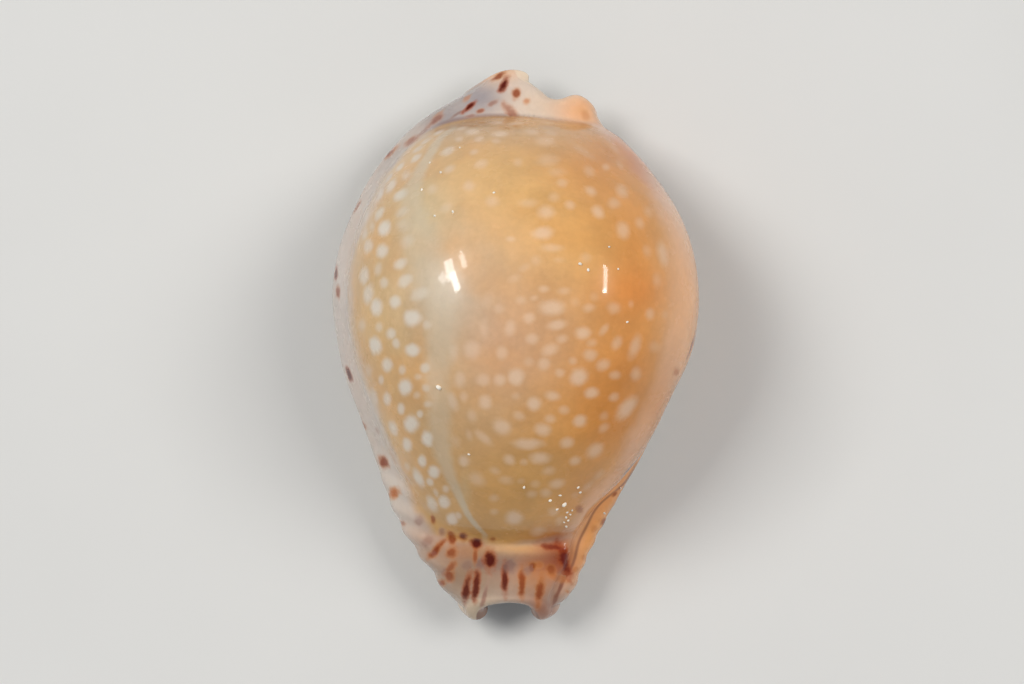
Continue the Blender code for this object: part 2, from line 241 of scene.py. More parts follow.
class Profile:
    """The outer form's sizes that depend only on the place along Y."""

    def __init__(self, plan: Plan, y: Grid) -> None:
        """Read the plan's curves.

        Args:
            plan: The shell's sizes.
            y: Places along the shell, in millimetres.
        """
        self.y = y
        self.left, right = spline(plan.left_margin, y), spline(plan.right_margin, y)
        top, self.low = spline(plan.margin_top, y), spline(plan.base_low, y)
        self.cx, self.cz = (self.left + right) / 2, (top + self.low) / 2
        self.wx, self.wz = (right - self.left) / 2, (top - self.low) / 2
        self.bow = 0.02 * (step(y, 8.0, 13.0) - step(-y, 6.0, 12.0))
        self.back_left, self.back_right = -spline(plan.back_left, y), spline(plan.back_right, y)
        self.roll_x, self.roll_z = spline(plan.roll_x, y), spline(plan.roll_z, y)
        self.slit, self.width = spline(plan.slit_line, y), spline(plan.slit_width, y)
        self.power = plan.slab_power - 0.5 * step(y, -14.0, -6.0) * step(-y, -14.0, -8.0)
        self.valley_left = 1.9 - 1.1 * step(y, 8.0, 13.0) - 1.0 * step(-y, 2.0, 9.0)
        self.valley_right = 1.1 - 0.2 * step(y, 11.0, 14.0) - 0.85 * step(-y, 3.0, 9.0)


@dataclass(frozen=True)
class Form:
    """The shell's shape: one thick sheet rolled round a hollow, from the outer lip to the inner lip."""

    plan: Plan = Plan()
    fine: Fineness = Fineness()

    def back_rise(self, y: Grid) -> Grid:
        """Share of the back's full height: 1 at its highest, 0 where it ends.

        Args:
            y: Places along the shell.

        Returns:
            The share at each place.
        """
        plan = self.plan
        hind_run = np.clip((y - plan.highest_y) / plan.back_hind_reach, 0, None)
        fore_run = np.clip((plan.highest_y - y) / plan.back_fore_reach, 0, None)
        hind = np.clip(1 - hind_run**2.4, 0, 1) ** 0.62
        fore = np.clip(1 - fore_run**1.9, 0, 1) ** 0.75
        return np.where(y > plan.highest_y, hind, fore)

    def section(self, p: Profile, x: Grid, z: Grid) -> Grid:
        """Cross-section of the outer form.

        Args:
            p: Sizes at each point's place along Y.
            x: Points across.
            z: Points up.

        Returns:
            Negative inside and positive outside, roughly in millimetres.
        """
        plan = self.plan
        power = np.where(z > p.cz, p.power, plan.slab_power)
        slab = (np.abs((x - p.cx) / p.wx) ** power + np.abs((z - p.cz) / p.wz) ** power) ** (1 / power) - 1
        slab = slab * np.minimum(p.wx, p.wz)
        side = step(x, -6.0, 6.0)
        rise = self.back_rise(p.y + p.bow * x**2)
        level = p.cz + 0.4 + 2.6 * rise + (0.4 + 1.6 * rise) * side
        up = np.maximum(p.cz + 0.3 + (plan.back_top - 3.4) * rise - level, 0.02)
        down = np.maximum(level * rise, 0.02)
        close = np.sqrt(np.clip(1 - np.clip(1 - rise / 0.3, 0, 1) ** 2, 0.001, 1))
        half = np.where(x < 0, p.back_left, p.back_right) * close
        tall = np.where(z > level, up, down)
        power = plan.back_power
        back = (np.abs(x / half) ** power + np.abs((z - level) / tall) ** power) ** (1 / power) - 1
        back = back * np.minimum(half, up + 0.5) + 2.0 * step(0.06 - rise, 0.0, 0.06)
        return soft_min(slab, back, p.valley_left + (p.valley_right - p.valley_left) * side)

    def skin_radius(self, p: Profile, angle: Grid) -> Grid:
        """Distance from the roll line out to the skin, found by halving.

        Args:
            p: Sizes at each point's place along Y.
            angle: Direction of each point from the roll line.

        Returns:
            The distances.
        """
        low, high = np.zeros_like(angle), np.full_like(angle, self.fine.farthest)
        for _ in range(self.fine.halvings):
            r = (low + high) / 2
            inside = self.section(p, p.roll_x + r * np.cos(angle), p.roll_z + r * np.sin(angle)) < 0
            low, high = np.where(inside, r, low), np.where(inside, high, r)
        return (low + high) / 2

    def relief(self, p: Profile, x: Grid, z: Grid, f: Grid) -> Grid:
        """Small forms on the outer skin: the margins' folds, the right groove and the neck's fold.

        Args:
            p: Sizes at each point's place along Y.
            x: Points across.
            z: Points up.
            f: Fractions round the ring.

        Returns:
            Heights, outward positive.
        """
        plan, y = self.plan, p.y
        wave = np.cos(2 * np.pi * (y + 8.9 + 0.5 * (x - p.left)) / plan.left_fold_pitch)
        out = plan.left_fold * wave * bump(f, 0.21, 0.07) * step(-y, 5.0, 11.0)
        wave = np.cos(2 * np.pi * y / plan.right_fold_pitch)
        out += plan.right_fold * wave * bump(f, 0.80, 0.06) * step(-y, 8.0, 12.5)
        groove = bump(x, spline(plan.right_groove, y), plan.groove_width)
        groove = groove * step(-y, 8.0, 12.0) * step(y, -17.6, -16.4)
        out -= plan.groove_depth * groove * step(z, 2.6, 3.4)
        fold = bump(y, -13.5 + 0.02 * (x - 1) ** 2, 0.42) * step(x, -3.2, 0.3) * step(-x, -3.9, -3.0)
        out += plan.neck_fold * fold * step(z, 3.6, 4.4)
        hollow = bump(y, -14.6, 0.6) * step(x, -3.6, -2.0) * step(-x, -3.6, -2.6)
        return out - plan.neck_hollow * hollow * step(z, 3.6, 4.4)

    def wall_thickness(self, y: Grid, f: Grid) -> Grid:
        """Thickness of the sheet, most where the inner whorls lie folded along the inner lip.

        Args:
            y: Places along the shell.
            f: Fractions round the ring.

        Returns:
            The thicknesses.
        """
        plan = self.plan
        middle = step(y, -15.5, -9.0) * step(-y, -14.5, -8.0)
        ends = 1 - middle
        top = plan.wall_top * middle + plan.end_wall_top * ends
        side = plan.wall_side * middle + plan.end_wall_side * ends
        side = side - plan.horn_thinning * step(y, 14.5, 16.5) * bump(f, 0.265, 0.03)
        low = plan.wall_low * middle + plan.end_wall_low * ends
        fold = plan.inner_fold * middle * bump(f, 0.83, 0.13)
        edge = np.abs(f - 0.5) * 2
        return top + (side - top) * step(edge, 0.25, 0.6) + (low - side) * step(edge, 0.7, 0.95) + fold

    def teeth(self, along: Grid, y: Grid, inner: bool) -> Grid:
        """Height of the teeth along one lip.

        Args:
            along: Share of the way from the fore end to the hind end.
            y: Places along the shell.
            inner: Whether it is the inner lip, whose teeth stand between the outer lip's.

        Returns:
            Heights from 0 to 1.
        """
        wave = 0.5 + 0.5 * np.cos(2 * np.pi * (self.plan.teeth * along - (0.5 if inner else 0.0)))
        return wave**1.2 * step(y, -16.0, -14.4) * step(-y, -15.0, -13.4)

    def lip_height(self, y: Grid) -> Grid:
        """Height of the lips' inner edge above the base."""
        return 2.4 - 0.9 * step(y, 13.0, 17.0) - 0.9 * step(-y, 12.5, 16.5)

    def skins(self, along: Grid, tilt: Grid, f: Grid) -> tuple[Grid, Grid]:
        """Outer and inner skin.

        Args:
            along: 0 at the fore end and 1 at the hind end.
            tilt: Turn of an end's rim, in radians.
            f: Fractions round the ring, from the outer lip (0) over the back to the inner lip (1).

        Returns:
            The outer and the inner points, in millimetres.
        """
        plan = self.plan
        y = (1 - along) * (spline(plan.fore_end, f) + spline(plan.fore_rim, f))
        y = y + along * (spline(plan.hind_end, f) - spline(plan.hind_rim, f))
        p = Profile(plan, y)
        reach = 0.5 * p.width + plan.lip_nose
        start = np.arctan2(0.5 - p.roll_z, p.slit - reach - p.roll_x) % (2 * np.pi)
        end = np.arctan2(0.5 - p.roll_z, p.slit + reach - p.roll_x)
        angle = start + (end - start) * f
        r = self.skin_radius(p, angle)
        r = r + self.relief(p, p.roll_x + r * np.cos(angle), p.roll_z + r * np.sin(angle), f)
        ox, oz = p.roll_x + r * np.cos(angle), p.roll_z + r * np.sin(angle)
        # the base turns up to the slit, under the teeth
        gap = np.clip(np.abs(ox - p.slit) - 0.5 * p.width - 0.8 * plan.lip_nose, 0, None)
        lip = step(-oz, -2.6, -1.2) * np.exp(-((gap / 1.25) ** 2))
        inner_tooth = self.teeth(along, y, True) * np.exp(-gap / 1.5)
        tooth = np.where(f < 0.5, self.teeth(along, y, False), inner_tooth)
        oz = np.maximum(oz + lip * plan.lip_lift - lip * plan.tooth_height * tooth, 0.0)
        # the inner skin covers less of the turn, because the lips' inner edges lie higher
        floor = p.low + self.lip_height(y)
        start_in = np.arctan2(floor - p.roll_z, p.slit - reach - p.roll_x) % (2 * np.pi)
        end_in = np.arctan2(floor - p.roll_z, p.slit + reach - p.roll_x)
        s = 2 * f - 1
        ratio = np.clip((start - end) / (start_in - end_in), 1.0, 1.45)
        angle = (start_in + end_in) / 2 - (start_in - end_in) / 2 * s * (ratio - (ratio - 1) * s**2)
        r = self.skin_radius(p, angle) - self.wall_thickness(y, f)
        ix, iz = p.roll_x + r * np.cos(angle), p.roll_z + r * np.sin(angle)
        # an end's rim draws both skins together and forward
        mx, mz = (ox + ix) / 2, (oz + iz) / 2
        shut = np.cos(tilt)
        rim = np.where(tilt < 0, spline(plan.fore_rim, f), spline(plan.hind_rim, f))
        y = y + rim * np.sin(tilt)
        outer = np.stack([mx + (ox - mx) * shut, y, mz + (oz - mz) * shut], -1)
        inner = np.stack([mx + (ix - mx) * shut, y, mz + (iz - mz) * shut], -1)
        return outer, inner

    def even_steps(self, along: Grid) -> Grid:
        """Fractions round each ring, closer together where the outer skin bends or nears a lip.

        Args:
            along: One value for each ring.

        Returns:
            A row of fractions for each ring.
        """
        fine = self.fine
        f = np.linspace(0, 1, fine.survey)
        grid_along, grid_f = np.meshgrid(along, f, indexing="ij")
        outer, _ = self.skins(grid_along, np.zeros_like(grid_f), grid_f)
        edge = np.diff(outer, axis=1)
        length = np.linalg.norm(edge, axis=-1)
        heading = edge / length[..., None]
        turn = np.arccos(np.clip((heading[:, 1:] * heading[:, :-1]).sum(-1), -1, 1))
        turn = np.pad(turn, ((0, 0), (0, 1)))
        middle = (f[1:] + f[:-1]) / 2
        near_lip = bump(middle, 0.0, 0.06) + bump(middle, 1.0, 0.06)
        weight = length / length.sum(1, keepdims=True) * (1 + fine.lip_crowding * near_lip)
        weight = weight + fine.bend_crowding * turn / turn.sum(1, keepdims=True)
        weight = self.blended(weight)
        run = np.concatenate([np.zeros((len(along), 1)), np.cumsum(weight, axis=1)], axis=1)
        run /= run[:, -1:]
        want = np.linspace(0, 1, fine.ring_half)
        return np.array([np.interp(want, row, f) for row in run])

    def blended(self, rows: Grid) -> Grid:
        """Each row blended with its neighbours, so that columns run smoothly from ring to ring.

        Args:
            rows: One row of numbers for each ring.

        Returns:
            As many rows.
        """
        reach = self.fine.blended_rings
        kernel = bump(np.arange(-reach, reach + 1), 0, reach / 2)
        kernel /= kernel.sum()
        padded = np.pad(rows, ((reach, reach), (0, 0)), mode="edge")
        return sum(k * padded[i : i + len(rows)] for i, k in enumerate(kernel))

    def lip_nose(self, outer: Grid, inner: Grid, side: int, tooth: Grid, tilt: Grid) -> Grid:
        """Points round a lip's nose, from the outer skin's edge to the inner skin's.

        Args:
            outer: Edge of the outer skin, one point for each row.
            inner: Edge of the inner skin.
            side: 1 where the nose points to +X, -1 where it points to -X.
            tooth: Height of the teeth at each row.
            tilt: Turn of the end's rim at each row.

        Returns:
            Rows of points.
        """
        turn = np.linspace(0, np.pi, 2 * self.fine.nose_half + 2)[1:-1]
        middle, reach = (outer + inner) / 2, (outer - inner) / 2
        bulge = (self.plan.lip_nose + self.plan.tooth_reach * tooth) * np.cos(tilt)
        points = middle[:, None] + reach[:, None] * np.cos(turn)[None, :, None]
        points[..., 0] += side * bulge[:, None] * np.sin(turn)[None, :] ** 0.85
        return points

    def rings(self) -> tuple[Grid, Grid]:
        """Rings of points from the fore end to the hind end.

        Returns:
            The points, each ring running outer skin, nose, inner skin, nose, and for every point how far it
            lies inside the hollow, from 0 on the outer skin to 1 on the inner skin.
        """
        fine = self.fine
        rim = np.radians(np.linspace(0, fine.rim_turn, fine.rim_steps + 1)[1:])
        middle = np.linspace(0, 1, fine.stations)
        along = np.concatenate([np.zeros(fine.rim_steps), middle, np.ones(fine.rim_steps)])
        tilt = np.concatenate([-rim[::-1], np.zeros(fine.stations), rim])
        f = self.even_steps(along)
        grid_along = np.repeat(along[:, None], fine.ring_half, axis=1)
        grid_tilt = np.repeat(tilt[:, None], fine.ring_half, axis=1)
        outer, inner = self.skins(grid_along, grid_tilt, f)
        half = fine.nose_half
        right_teeth = self.teeth(along, outer[:, -1, 1], True)
        left_teeth = self.teeth(along, outer[:, 0, 1], False)
        right = self.lip_nose(outer[:, -1], inner[:, -1], -1, right_teeth, tilt)
        left = self.lip_nose(outer[:, 0], inner[:, 0], 1, left_teeth, tilt)
        # the ring starts half-way round the outer lip's nose, so its two halves face each other
        ring = [left[:, half - 1 :: -1], outer, right, inner[:, ::-1], left[:, : half - 1 : -1]]
        ramp = np.linspace(0, 1, 2 * half)
        inside = [ramp[half - 1 :: -1], np.zeros(fine.ring_half), ramp, np.ones(fine.ring_half)]
        inside.append(ramp[: half - 1 : -1])
        points = np.concatenate(ring, axis=1)
        return points, np.repeat(np.concatenate(inside)[None], len(points), axis=0)


# Pattern


class Tint(Enum):
    """Core and halo colours of the marks on the enamel, as 8-bit display values; the grey ones are painted
    shade, the violet ones partly so.
    """

    DARK = ((90, 20, 2), (166, 76, 26))
    BROWN = ((136, 54, 10), (186, 112, 52))
    ORANGE = ((188, 104, 42), (206, 144, 88))
    RED = ((112, 26, 4), (160, 68, 24))
    MAUVE = ((144, 98, 84), (180, 142, 124))
    # violet line along the right groove: partly the callus edge's tinge, partly painted shade
    VIOLET_AND_SHADE = ((120, 66, 50), (170, 124, 100))
    # grey-blue painted shade, in the dip below the neck's ridge and along the hind crease
    SHADE_GREY = ((132, 98, 92), (158, 130, 114))


class Facing(Enum):
    """Side that a fleck lies on: direction of sight, across and upright axes, all seen from outside."""

    TOP = ((0, 0, -1), (1, 0, 0), (0, 1, 0))
    LEFT = ((1, 0, 0), (0, -1, 0), (0, 0, 1))
    RIGHT = ((-1, 0, 0), (0, 1, 0), (0, 0, 1))


@dataclass(frozen=True)
class Fleck:
    """One oval spot or mark, sized and turned as it looks from its side."""

    centre: tuple[float, float]
    long: float
    short: float
    lean: float
    strength: float
    tint: Tint = Tint.BROWN
    facing: Facing = Facing.TOP


@dataclass(frozen=True)
class Wash:
    """A soft patch of colour in plan, in millimetres; its strength fades from the centre out."""

    centre: tuple[float, float]
    reach: tuple[float, float]
    colour: Colour
    strength: float

    def amount(self, x: Grid, y: Grid) -> Grid:
        """How much of the colour lies at the given places."""
        far = ((x - self.centre[0]) / self.reach[0]) ** 2 + ((y - self.centre[1]) / self.reach[1]) ** 2
        return self.strength * np.exp(-0.7 * far)


@dataclass(frozen=True)
class Sight:
    """How the picture looks down on the shell: a long lens straight above its middle.

    The picture's size and its middle are in pixels, and one pixel covers so many millimetres at the level.
    A side is looked at from beside the shell.
    """

    width: int = 1024
    height: int = 684
    middle_x: float = 515.5
    middle_y: float = 345.0
    per_pixel: float = 0.065
    level: float = 7.0
    distance: float = 500.0
    beside: float = 40.0
    sensor: float = 36.0

    def eye(self) -> Vector:
        """Place of the lens, in millimetres."""
        x = (self.width / 2 - self.middle_x) * self.per_pixel
        return Vector((x, (self.middle_y - self.height / 2) * self.per_pixel, self.distance))

    def towards(self, x: float, y: float) -> Vector:
        """Direction of sight through a pixel.

        Args:
            x: Pixel column.
            y: Pixel row, counted downwards.

        Returns:
            A unit vector.
        """
        across, up = (x - self.middle_x) * self.per_pixel, (self.middle_y - y) * self.per_pixel
        return (Vector((across, up, self.level)) - self.eye()).normalized()

    def lens(self) -> float:
        """Focal length that gives the picture its width at the shell."""
        return self.sensor * (self.distance - self.level) / (self.width * self.per_pixel)

    def size_at(self, height: float) -> float:
        """Millimetres that a pixel covers at a height above the floor."""
        return self.per_pixel * (self.distance - height) / (self.distance - self.level)


@dataclass(frozen=True)
class Colouring:
    """Where each layer of colour lies, and the colours."""

    ground: Colour = (210, 160, 96)
    ground_washes: tuple[Wash, ...] = (
        Wash((-7.8, 2.6), (2.6, 9.0), (216, 180, 122), 0.8),
        Wash((-1.0, 10.7), (5.9, 3.3), (222, 180, 120), 0.6),
        Wash((0.0, 14.2), (6.0, 1.1), (180, 150, 116), 0.7),
        Wash((0.3, 6.5), (2.9, 2.0), (226, 176, 116), 0.7),
        Wash((-3.0, 2.9), (2.6, 2.9), (212, 184, 150), 0.6),
        Wash((-1.0, -0.3), (3.9, 3.6), (208, 164, 132), 0.8),
        Wash((1.9, 1.0), (2.6, 2.9), (212, 163, 120), 0.6),
        Wash((-2.6, -5.4), (3.8, 3.0), (206, 170, 130), 0.5),
        Wash((6.0, 9.5), (3.0, 2.5), (212, 154, 94), 0.6),
        Wash((7.8, 5.9), (1.8, 3.9), (218, 144, 74), 0.7),
        Wash((7.6, 3.4), (2.0, 1.3), (220, 136, 66), 0.7),
        Wash((7.2, -1.0), (2.4, 3.4), (222, 144, 76), 0.7),
        Wash((6.1, -4.8), (2.9, 3.2), (212, 134, 56), 0.8),
        Wash((0.3, -10.1), (4.6, 2.6), (204, 150, 78), 0.75),
        Wash((4.6, -10.0), (1.6, 2.2), (216, 142, 66), 0.6),
        Wash((11.0, 2.0), (1.4, 9.0), (224, 168, 122), 0.9),
        Wash((-5.6, -8.8), (1.8, 3.0), (192, 154, 98), 0.5),
        Wash((-4.9, 0.3), (1.6, 4.0), (202, 174, 134), 0.5),
        Wash((2.9, -12.6), (1.5, 0.7), (196, 102, 30), 0.75),
        Wash((-5.8, 8.3), (1.4, 2.6), (206, 188, 146), 0.6),
        # painted haze of reflection round the main highlight on the back
        Wash((-4.2, 3.2), (1.6, 1.8), (196, 184, 166), 0.5),
        Wash((-3.3, -9.5), (0.35, 1.2), (206, 184, 144), 0.4),
        Wash((-4.9, 5.2), (3.4, 4.2), (206, 190, 170), 0.45),
        Wash((6.0, 12.4), (3.0, 2.2), (204, 130, 56), 0.85),
        Wash((2.0, 13.2), (3.0, 1.2), (214, 164, 106), 0.5),
    )
    enamel: Colour = (216, 198, 184)
    enamel_washes: tuple[Wash, ...] = (
        Wash((-11.2, 2.0), (1.6, 11.0), (210, 200, 192), 0.9),
        Wash((-10.2, 3.4), (0.8, 7.0), (218, 194, 176), 0.8),
        Wash((-9.0, -9.0), (2.5, 4.5), (208, 196, 184), 0.85),
        Wash((11.5, 3.0), (2.6, 9.0), (240, 178, 124), 1.0),
        Wash((9.4, -4.6), (1.8, 3.4), (222, 150, 84), 0.9),
        Wash((6.8, -10.0), (2.6, 5.0), (222, 150, 84), 0.9),
        Wash((7.4, 12.0), (2.2, 2.6), (204, 118, 44), 0.9),
        Wash((-2.3, 16.2), (1.6, 1.1), (146, 140, 146), 0.85),
        Wash((-4.6, 14.6), (1.8, 1.3), (140, 136, 140), 0.8),
        Wash((-1.2, 18.0), (1.6, 0.7), (232, 180, 136), 0.8),
        Wash((1.8, 15.8), (1.8, 1.4), (212, 192, 172), 0.9),
        Wash((4.3, 15.3), (1.4, 1.2), (236, 176, 124), 0.9),
        # the fore neck darker: partly painted shade where it turns from the light, partly its brown marks
        Wash((-3.0, -14.8), (3.0, 2.2), (142, 108, 76), 0.85),
        Wash((1.5, -14.9), (1.8, 1.6), (182, 114, 54), 0.8),
        Wash((-5.0, -12.8), (1.8, 1.4), (184, 134, 98), 0.5),
        Wash((-3.0, -13.4), (1.3, 0.6), (168, 110, 76), 0.6),
        # the neck's ridge: partly its yellow tone, partly a painted highlight along its top
        Wash((0.4, -13.25), (2.4, 0.42), (206, 158, 96), 0.7),
        Wash((1.8, -14.2), (1.8, 0.6), (176, 100, 58), 0.6),
        Wash((3.0, -13.8), (0.9, 1.3), (146, 54, 22), 0.9),
        Wash((2.3, -13.2), (1.0, 0.5), (168, 96, 52), 0.45),
        Wash((5.2, -13.6), (1.2, 3.2), (240, 160, 78), 0.9),
        Wash((-8.2, 12.0), (1.8, 2.8), (178, 166, 158), 0.7),
        # painted shade in the dip below the neck's ridge
        Wash((-0.9, -14.5), (0.9, 0.7), (132, 106, 96), 0.5),
        Wash((-2.4, -17.5), (1.5, 0.9), (200, 178, 150), 0.9),
        Wash((1.8, -17.4), (1.3, 1.0), (146, 90, 64), 0.85),
    )
    base: Colour = (232, 222, 208)
    hollow: Colour = (120, 100, 100)
    canal: Colour = (226, 204, 180)
    fore_canal: Colour = (138, 106, 90)
    spot: Colour = (223, 213, 199)
    right_spot: Colour = (230, 200, 172)
    line: Colour = (206, 198, 178)
    # crease: painted shade along the hind crease, where the back meets the spout
    crease: Colour = (128, 92, 84)
    # groove: the callus edge's violet tinge, deepened with painted shade in the groove
    groove: Colour = (128, 82, 66)
    patch: Colour = (224, 158, 84)
    tan_left: Curve = (
        (14.0, -5.6), (11.7, -7.8), (8.7, -9.4), (6.2, -10.4), (2.9, -10.6), (-0.3, -10.3), (-3.6, -9.3),
        (-6.8, -8.2), (-9.4, -6.9), (-11.4, -5.9), (-12.7, -4.9),
    )
    tan_right: Curve = (
        (14.0, 5.5), (12.8, 6.5), (11.2, 7.7), (9.9, 8.7), (7.9, 9.6), (2.9, 10.1), (0.3, 9.8), (-1.9, 9.3),
        (-3.7, 8.5), (-5.3, 7.7), (-7.1, 6.7), (-8.7, 5.8), (-9.6, 4.9), (-11.0, 4.1), (-12.4, 3.4),
    )
    tan_hind: Curve = (
        (-6.5, 13.5), (-5.6, 14.0), (-4.9, 14.35), (-3.6, 14.7), (-2.3, 14.88), (-1.0, 14.93), (0.3, 14.88),
        (1.9, 14.7), (3.5, 14.5), (5.5, 14.35),
    )
    tan_fore: float = -12.9
    mantle: Curve = (
        (14.1, -4.0), (13.7, -4.6), (12.9, -5.2), (12.2, -5.6), (11.5, -6.0), (10.4, -6.5), (9.5, -6.7),
        (7.7, -6.4), (5.7, -5.8), (3.2, -5.1), (1.6, -4.7), (-0.3, -4.8), (-1.8, -5.0), (-3.4, -4.9),
        (-5.1, -4.9), (-6.3, -4.8), (-7.9, -4.4), (-9.2, -3.9), (-10.5, -3.3), (-11.4, -2.8), (-12.3, -2.0),
    )
    mantle_half: Curve = (
        (14.1, 0.25), (12.0, 0.36), (9.5, 0.7), (7.0, 1.2), (3.0, 1.2), (0.0, 0.9), (-2.0, 0.8),
        (-6.0, 0.7), (-8.0, 0.45), (-9.5, 0.3), (-12.3, 0.2),
    )
    mantle_strength: Curve = (
        (14.5, 0.3), (12.5, 0.5), (9.5, 0.4), (7.0, 0.3), (2.0, 0.3), (-1.0, 0.34), (-5.0, 0.36),
        (-8.0, 0.42), (-10.0, 0.5), (-12.0, 0.5), (-12.8, 0.15),
    )


@dataclass(frozen=True)
class Landed:
    """A fleck where it lies on the shell, with its own measuring axes across the surface, 1 at its edge."""

    centre: Grid
    normal: Grid
    along: Grid
    beside: Grid
    reach: float
    strength: float
    core: Colour
    halo: Colour


class Placed:
    """Flecks put onto the shell."""

    STEEPEST = 0.33
    BATCH = 4096
    OUT_OF_REACH = 99.0
    FARTHEST = 4.0
    LIFT = 0.45
    LIFT_SHARE = 0.9
    LEAST_FACING = 0.1

    def __init__(self, flecks: list[Fleck], skin: BVHTree, sight: Sight) -> None:
        """Cast each fleck onto the skin.

        Args:
            flecks: What to place.
            skin: The shell's mesh, in millimetres.
            sight: How the picture looks down; flecks on top are placed by its pixels.
        """
        landed = [spot for spot in (self.cast(fleck, skin, sight) for fleck in flecks) if spot is not None]
        self.count = len(landed)
        self.missed = len(flecks) - len(landed)
        self.centre = np.array([spot.centre for spot in landed])
        self.normal = np.array([spot.normal for spot in landed])
        self.along = np.array([spot.along for spot in landed])
        self.beside = np.array([spot.beside for spot in landed])
        self.reach = np.array([spot.reach for spot in landed])
        self.strength = np.array([spot.strength for spot in landed])
        self.core = np.array([spot.core for spot in landed])
        self.halo = np.array([spot.halo for spot in landed])

    @classmethod
    def cast(cls, fleck: Fleck, skin: BVHTree, sight: Sight) -> Landed | None:
        """Find where one fleck lies and how it is measured there.

        Args:
            fleck: What to place.
            skin: The shell's mesh, in millimetres.
            sight: How the picture looks down.

        Returns:
            The fleck on the shell, or None where it misses.
        """
        look, across, upright = (Vector(axis) for axis in fleck.facing.value)
        if fleck.facing is Facing.TOP:
            start = sight.eye()
            hit, normal, _, _ = skin.ray_cast(start, sight.towards(*fleck.centre))
        else:
            start = -look * sight.beside + Vector((0, fleck.centre[0], fleck.centre[1]))
            hit, normal, _, _ = skin.ray_cast(start, look)
        if hit is None:
            return None
        if normal.dot(look) > 0:
            normal = -normal
        unit = sight.size_at(hit.z) / 2 if fleck.facing is Facing.TOP else 1.0
        turn = math.radians(fleck.lean)
        along = across * math.cos(turn) + upright * math.sin(turn)
        beside = upright * math.cos(turn) - across * math.sin(turn)
        # on a steep flank a round fleck looks narrow, but no more than about three times
        facing = max(-normal.dot(look), 0.02)
        slope = (look + normal * facing) if facing < 0.999 else across.copy()
        slope.normalize()
        level = normal.cross(slope).normalized()
        shadow = slope - look * slope.dot(look)
        shadow = shadow.normalized() if shadow.length > 1e-6 else slope
        shown = max(facing, cls.STEEPEST)
        axes = []
        for axis, half in ((along, fleck.long * unit), (beside, fleck.short * unit)):
            measure = level * level.dot(axis) + slope * (shown * shadow.dot(axis))
            axes.append(np.array(measure) / half)
        core, halo = (linear(paint) for paint in fleck.tint.value)
        reach = fleck.long * unit
        return Landed(np.array(hit), np.array(normal), axes[0], axes[1], reach, fleck.strength, core, halo)

    def nearest(self, centres: Grid, normals: Grid) -> Grid:
        """The two flecks that matter most at each face.

        Args:
            centres: Middle of each face.
            normals: Normal of each face.

        Returns:
            Two fleck numbers for each face, or -1 where none is near.
        """
        found = np.full((len(centres), 2), -1)
        for first in range(0, len(centres), self.BATCH):
            part = slice(first, first + self.BATCH)
            away = centres[part, None] - self.centre[None]
            u = (away * self.along).sum(-1)
            v = (away * self.beside).sum(-1)
            lift = np.abs((away * self.normal).sum(-1))
            near = np.hypot(u, v)
            near[lift > self.LIFT + self.LIFT_SHARE * self.reach] = self.OUT_OF_REACH
            near[normals[part] @ self.normal.T < self.LEAST_FACING] = self.OUT_OF_REACH
            best = np.argsort(near, axis=1)[:, :2]
            size = np.take_along_axis(near, best, 1)
            # always in the same order, so that two flecks that touch don't swap along their border
            found[part] = np.sort(np.where(size < self.FARTHEST, best, -1), axis=1)
        return found

    def measured(self, corners: Grid, pick: Grid) -> Grid:
        """Where each corner lies on its fleck.

        Args:
            corners: Points, in millimetres.
            pick: Number of each corner's fleck, or -1.

        Returns:
            For each corner its place along and beside the fleck's middle, and the fleck's strength.
        """
        away = corners - self.centre[pick]
        u = (away * self.along[pick]).sum(-1)
        v = (away * self.beside[pick]).sum(-1)
        strong = self.strength[pick]
        none = pick < 0
        u[none], v[none], strong[none] = self.OUT_OF_REACH, self.OUT_OF_REACH, 0
        return np.stack([u, v, strong], -1)


# Flecks as the picture shows them: column, row, length, breadth, lean and strength, in pixels and degrees

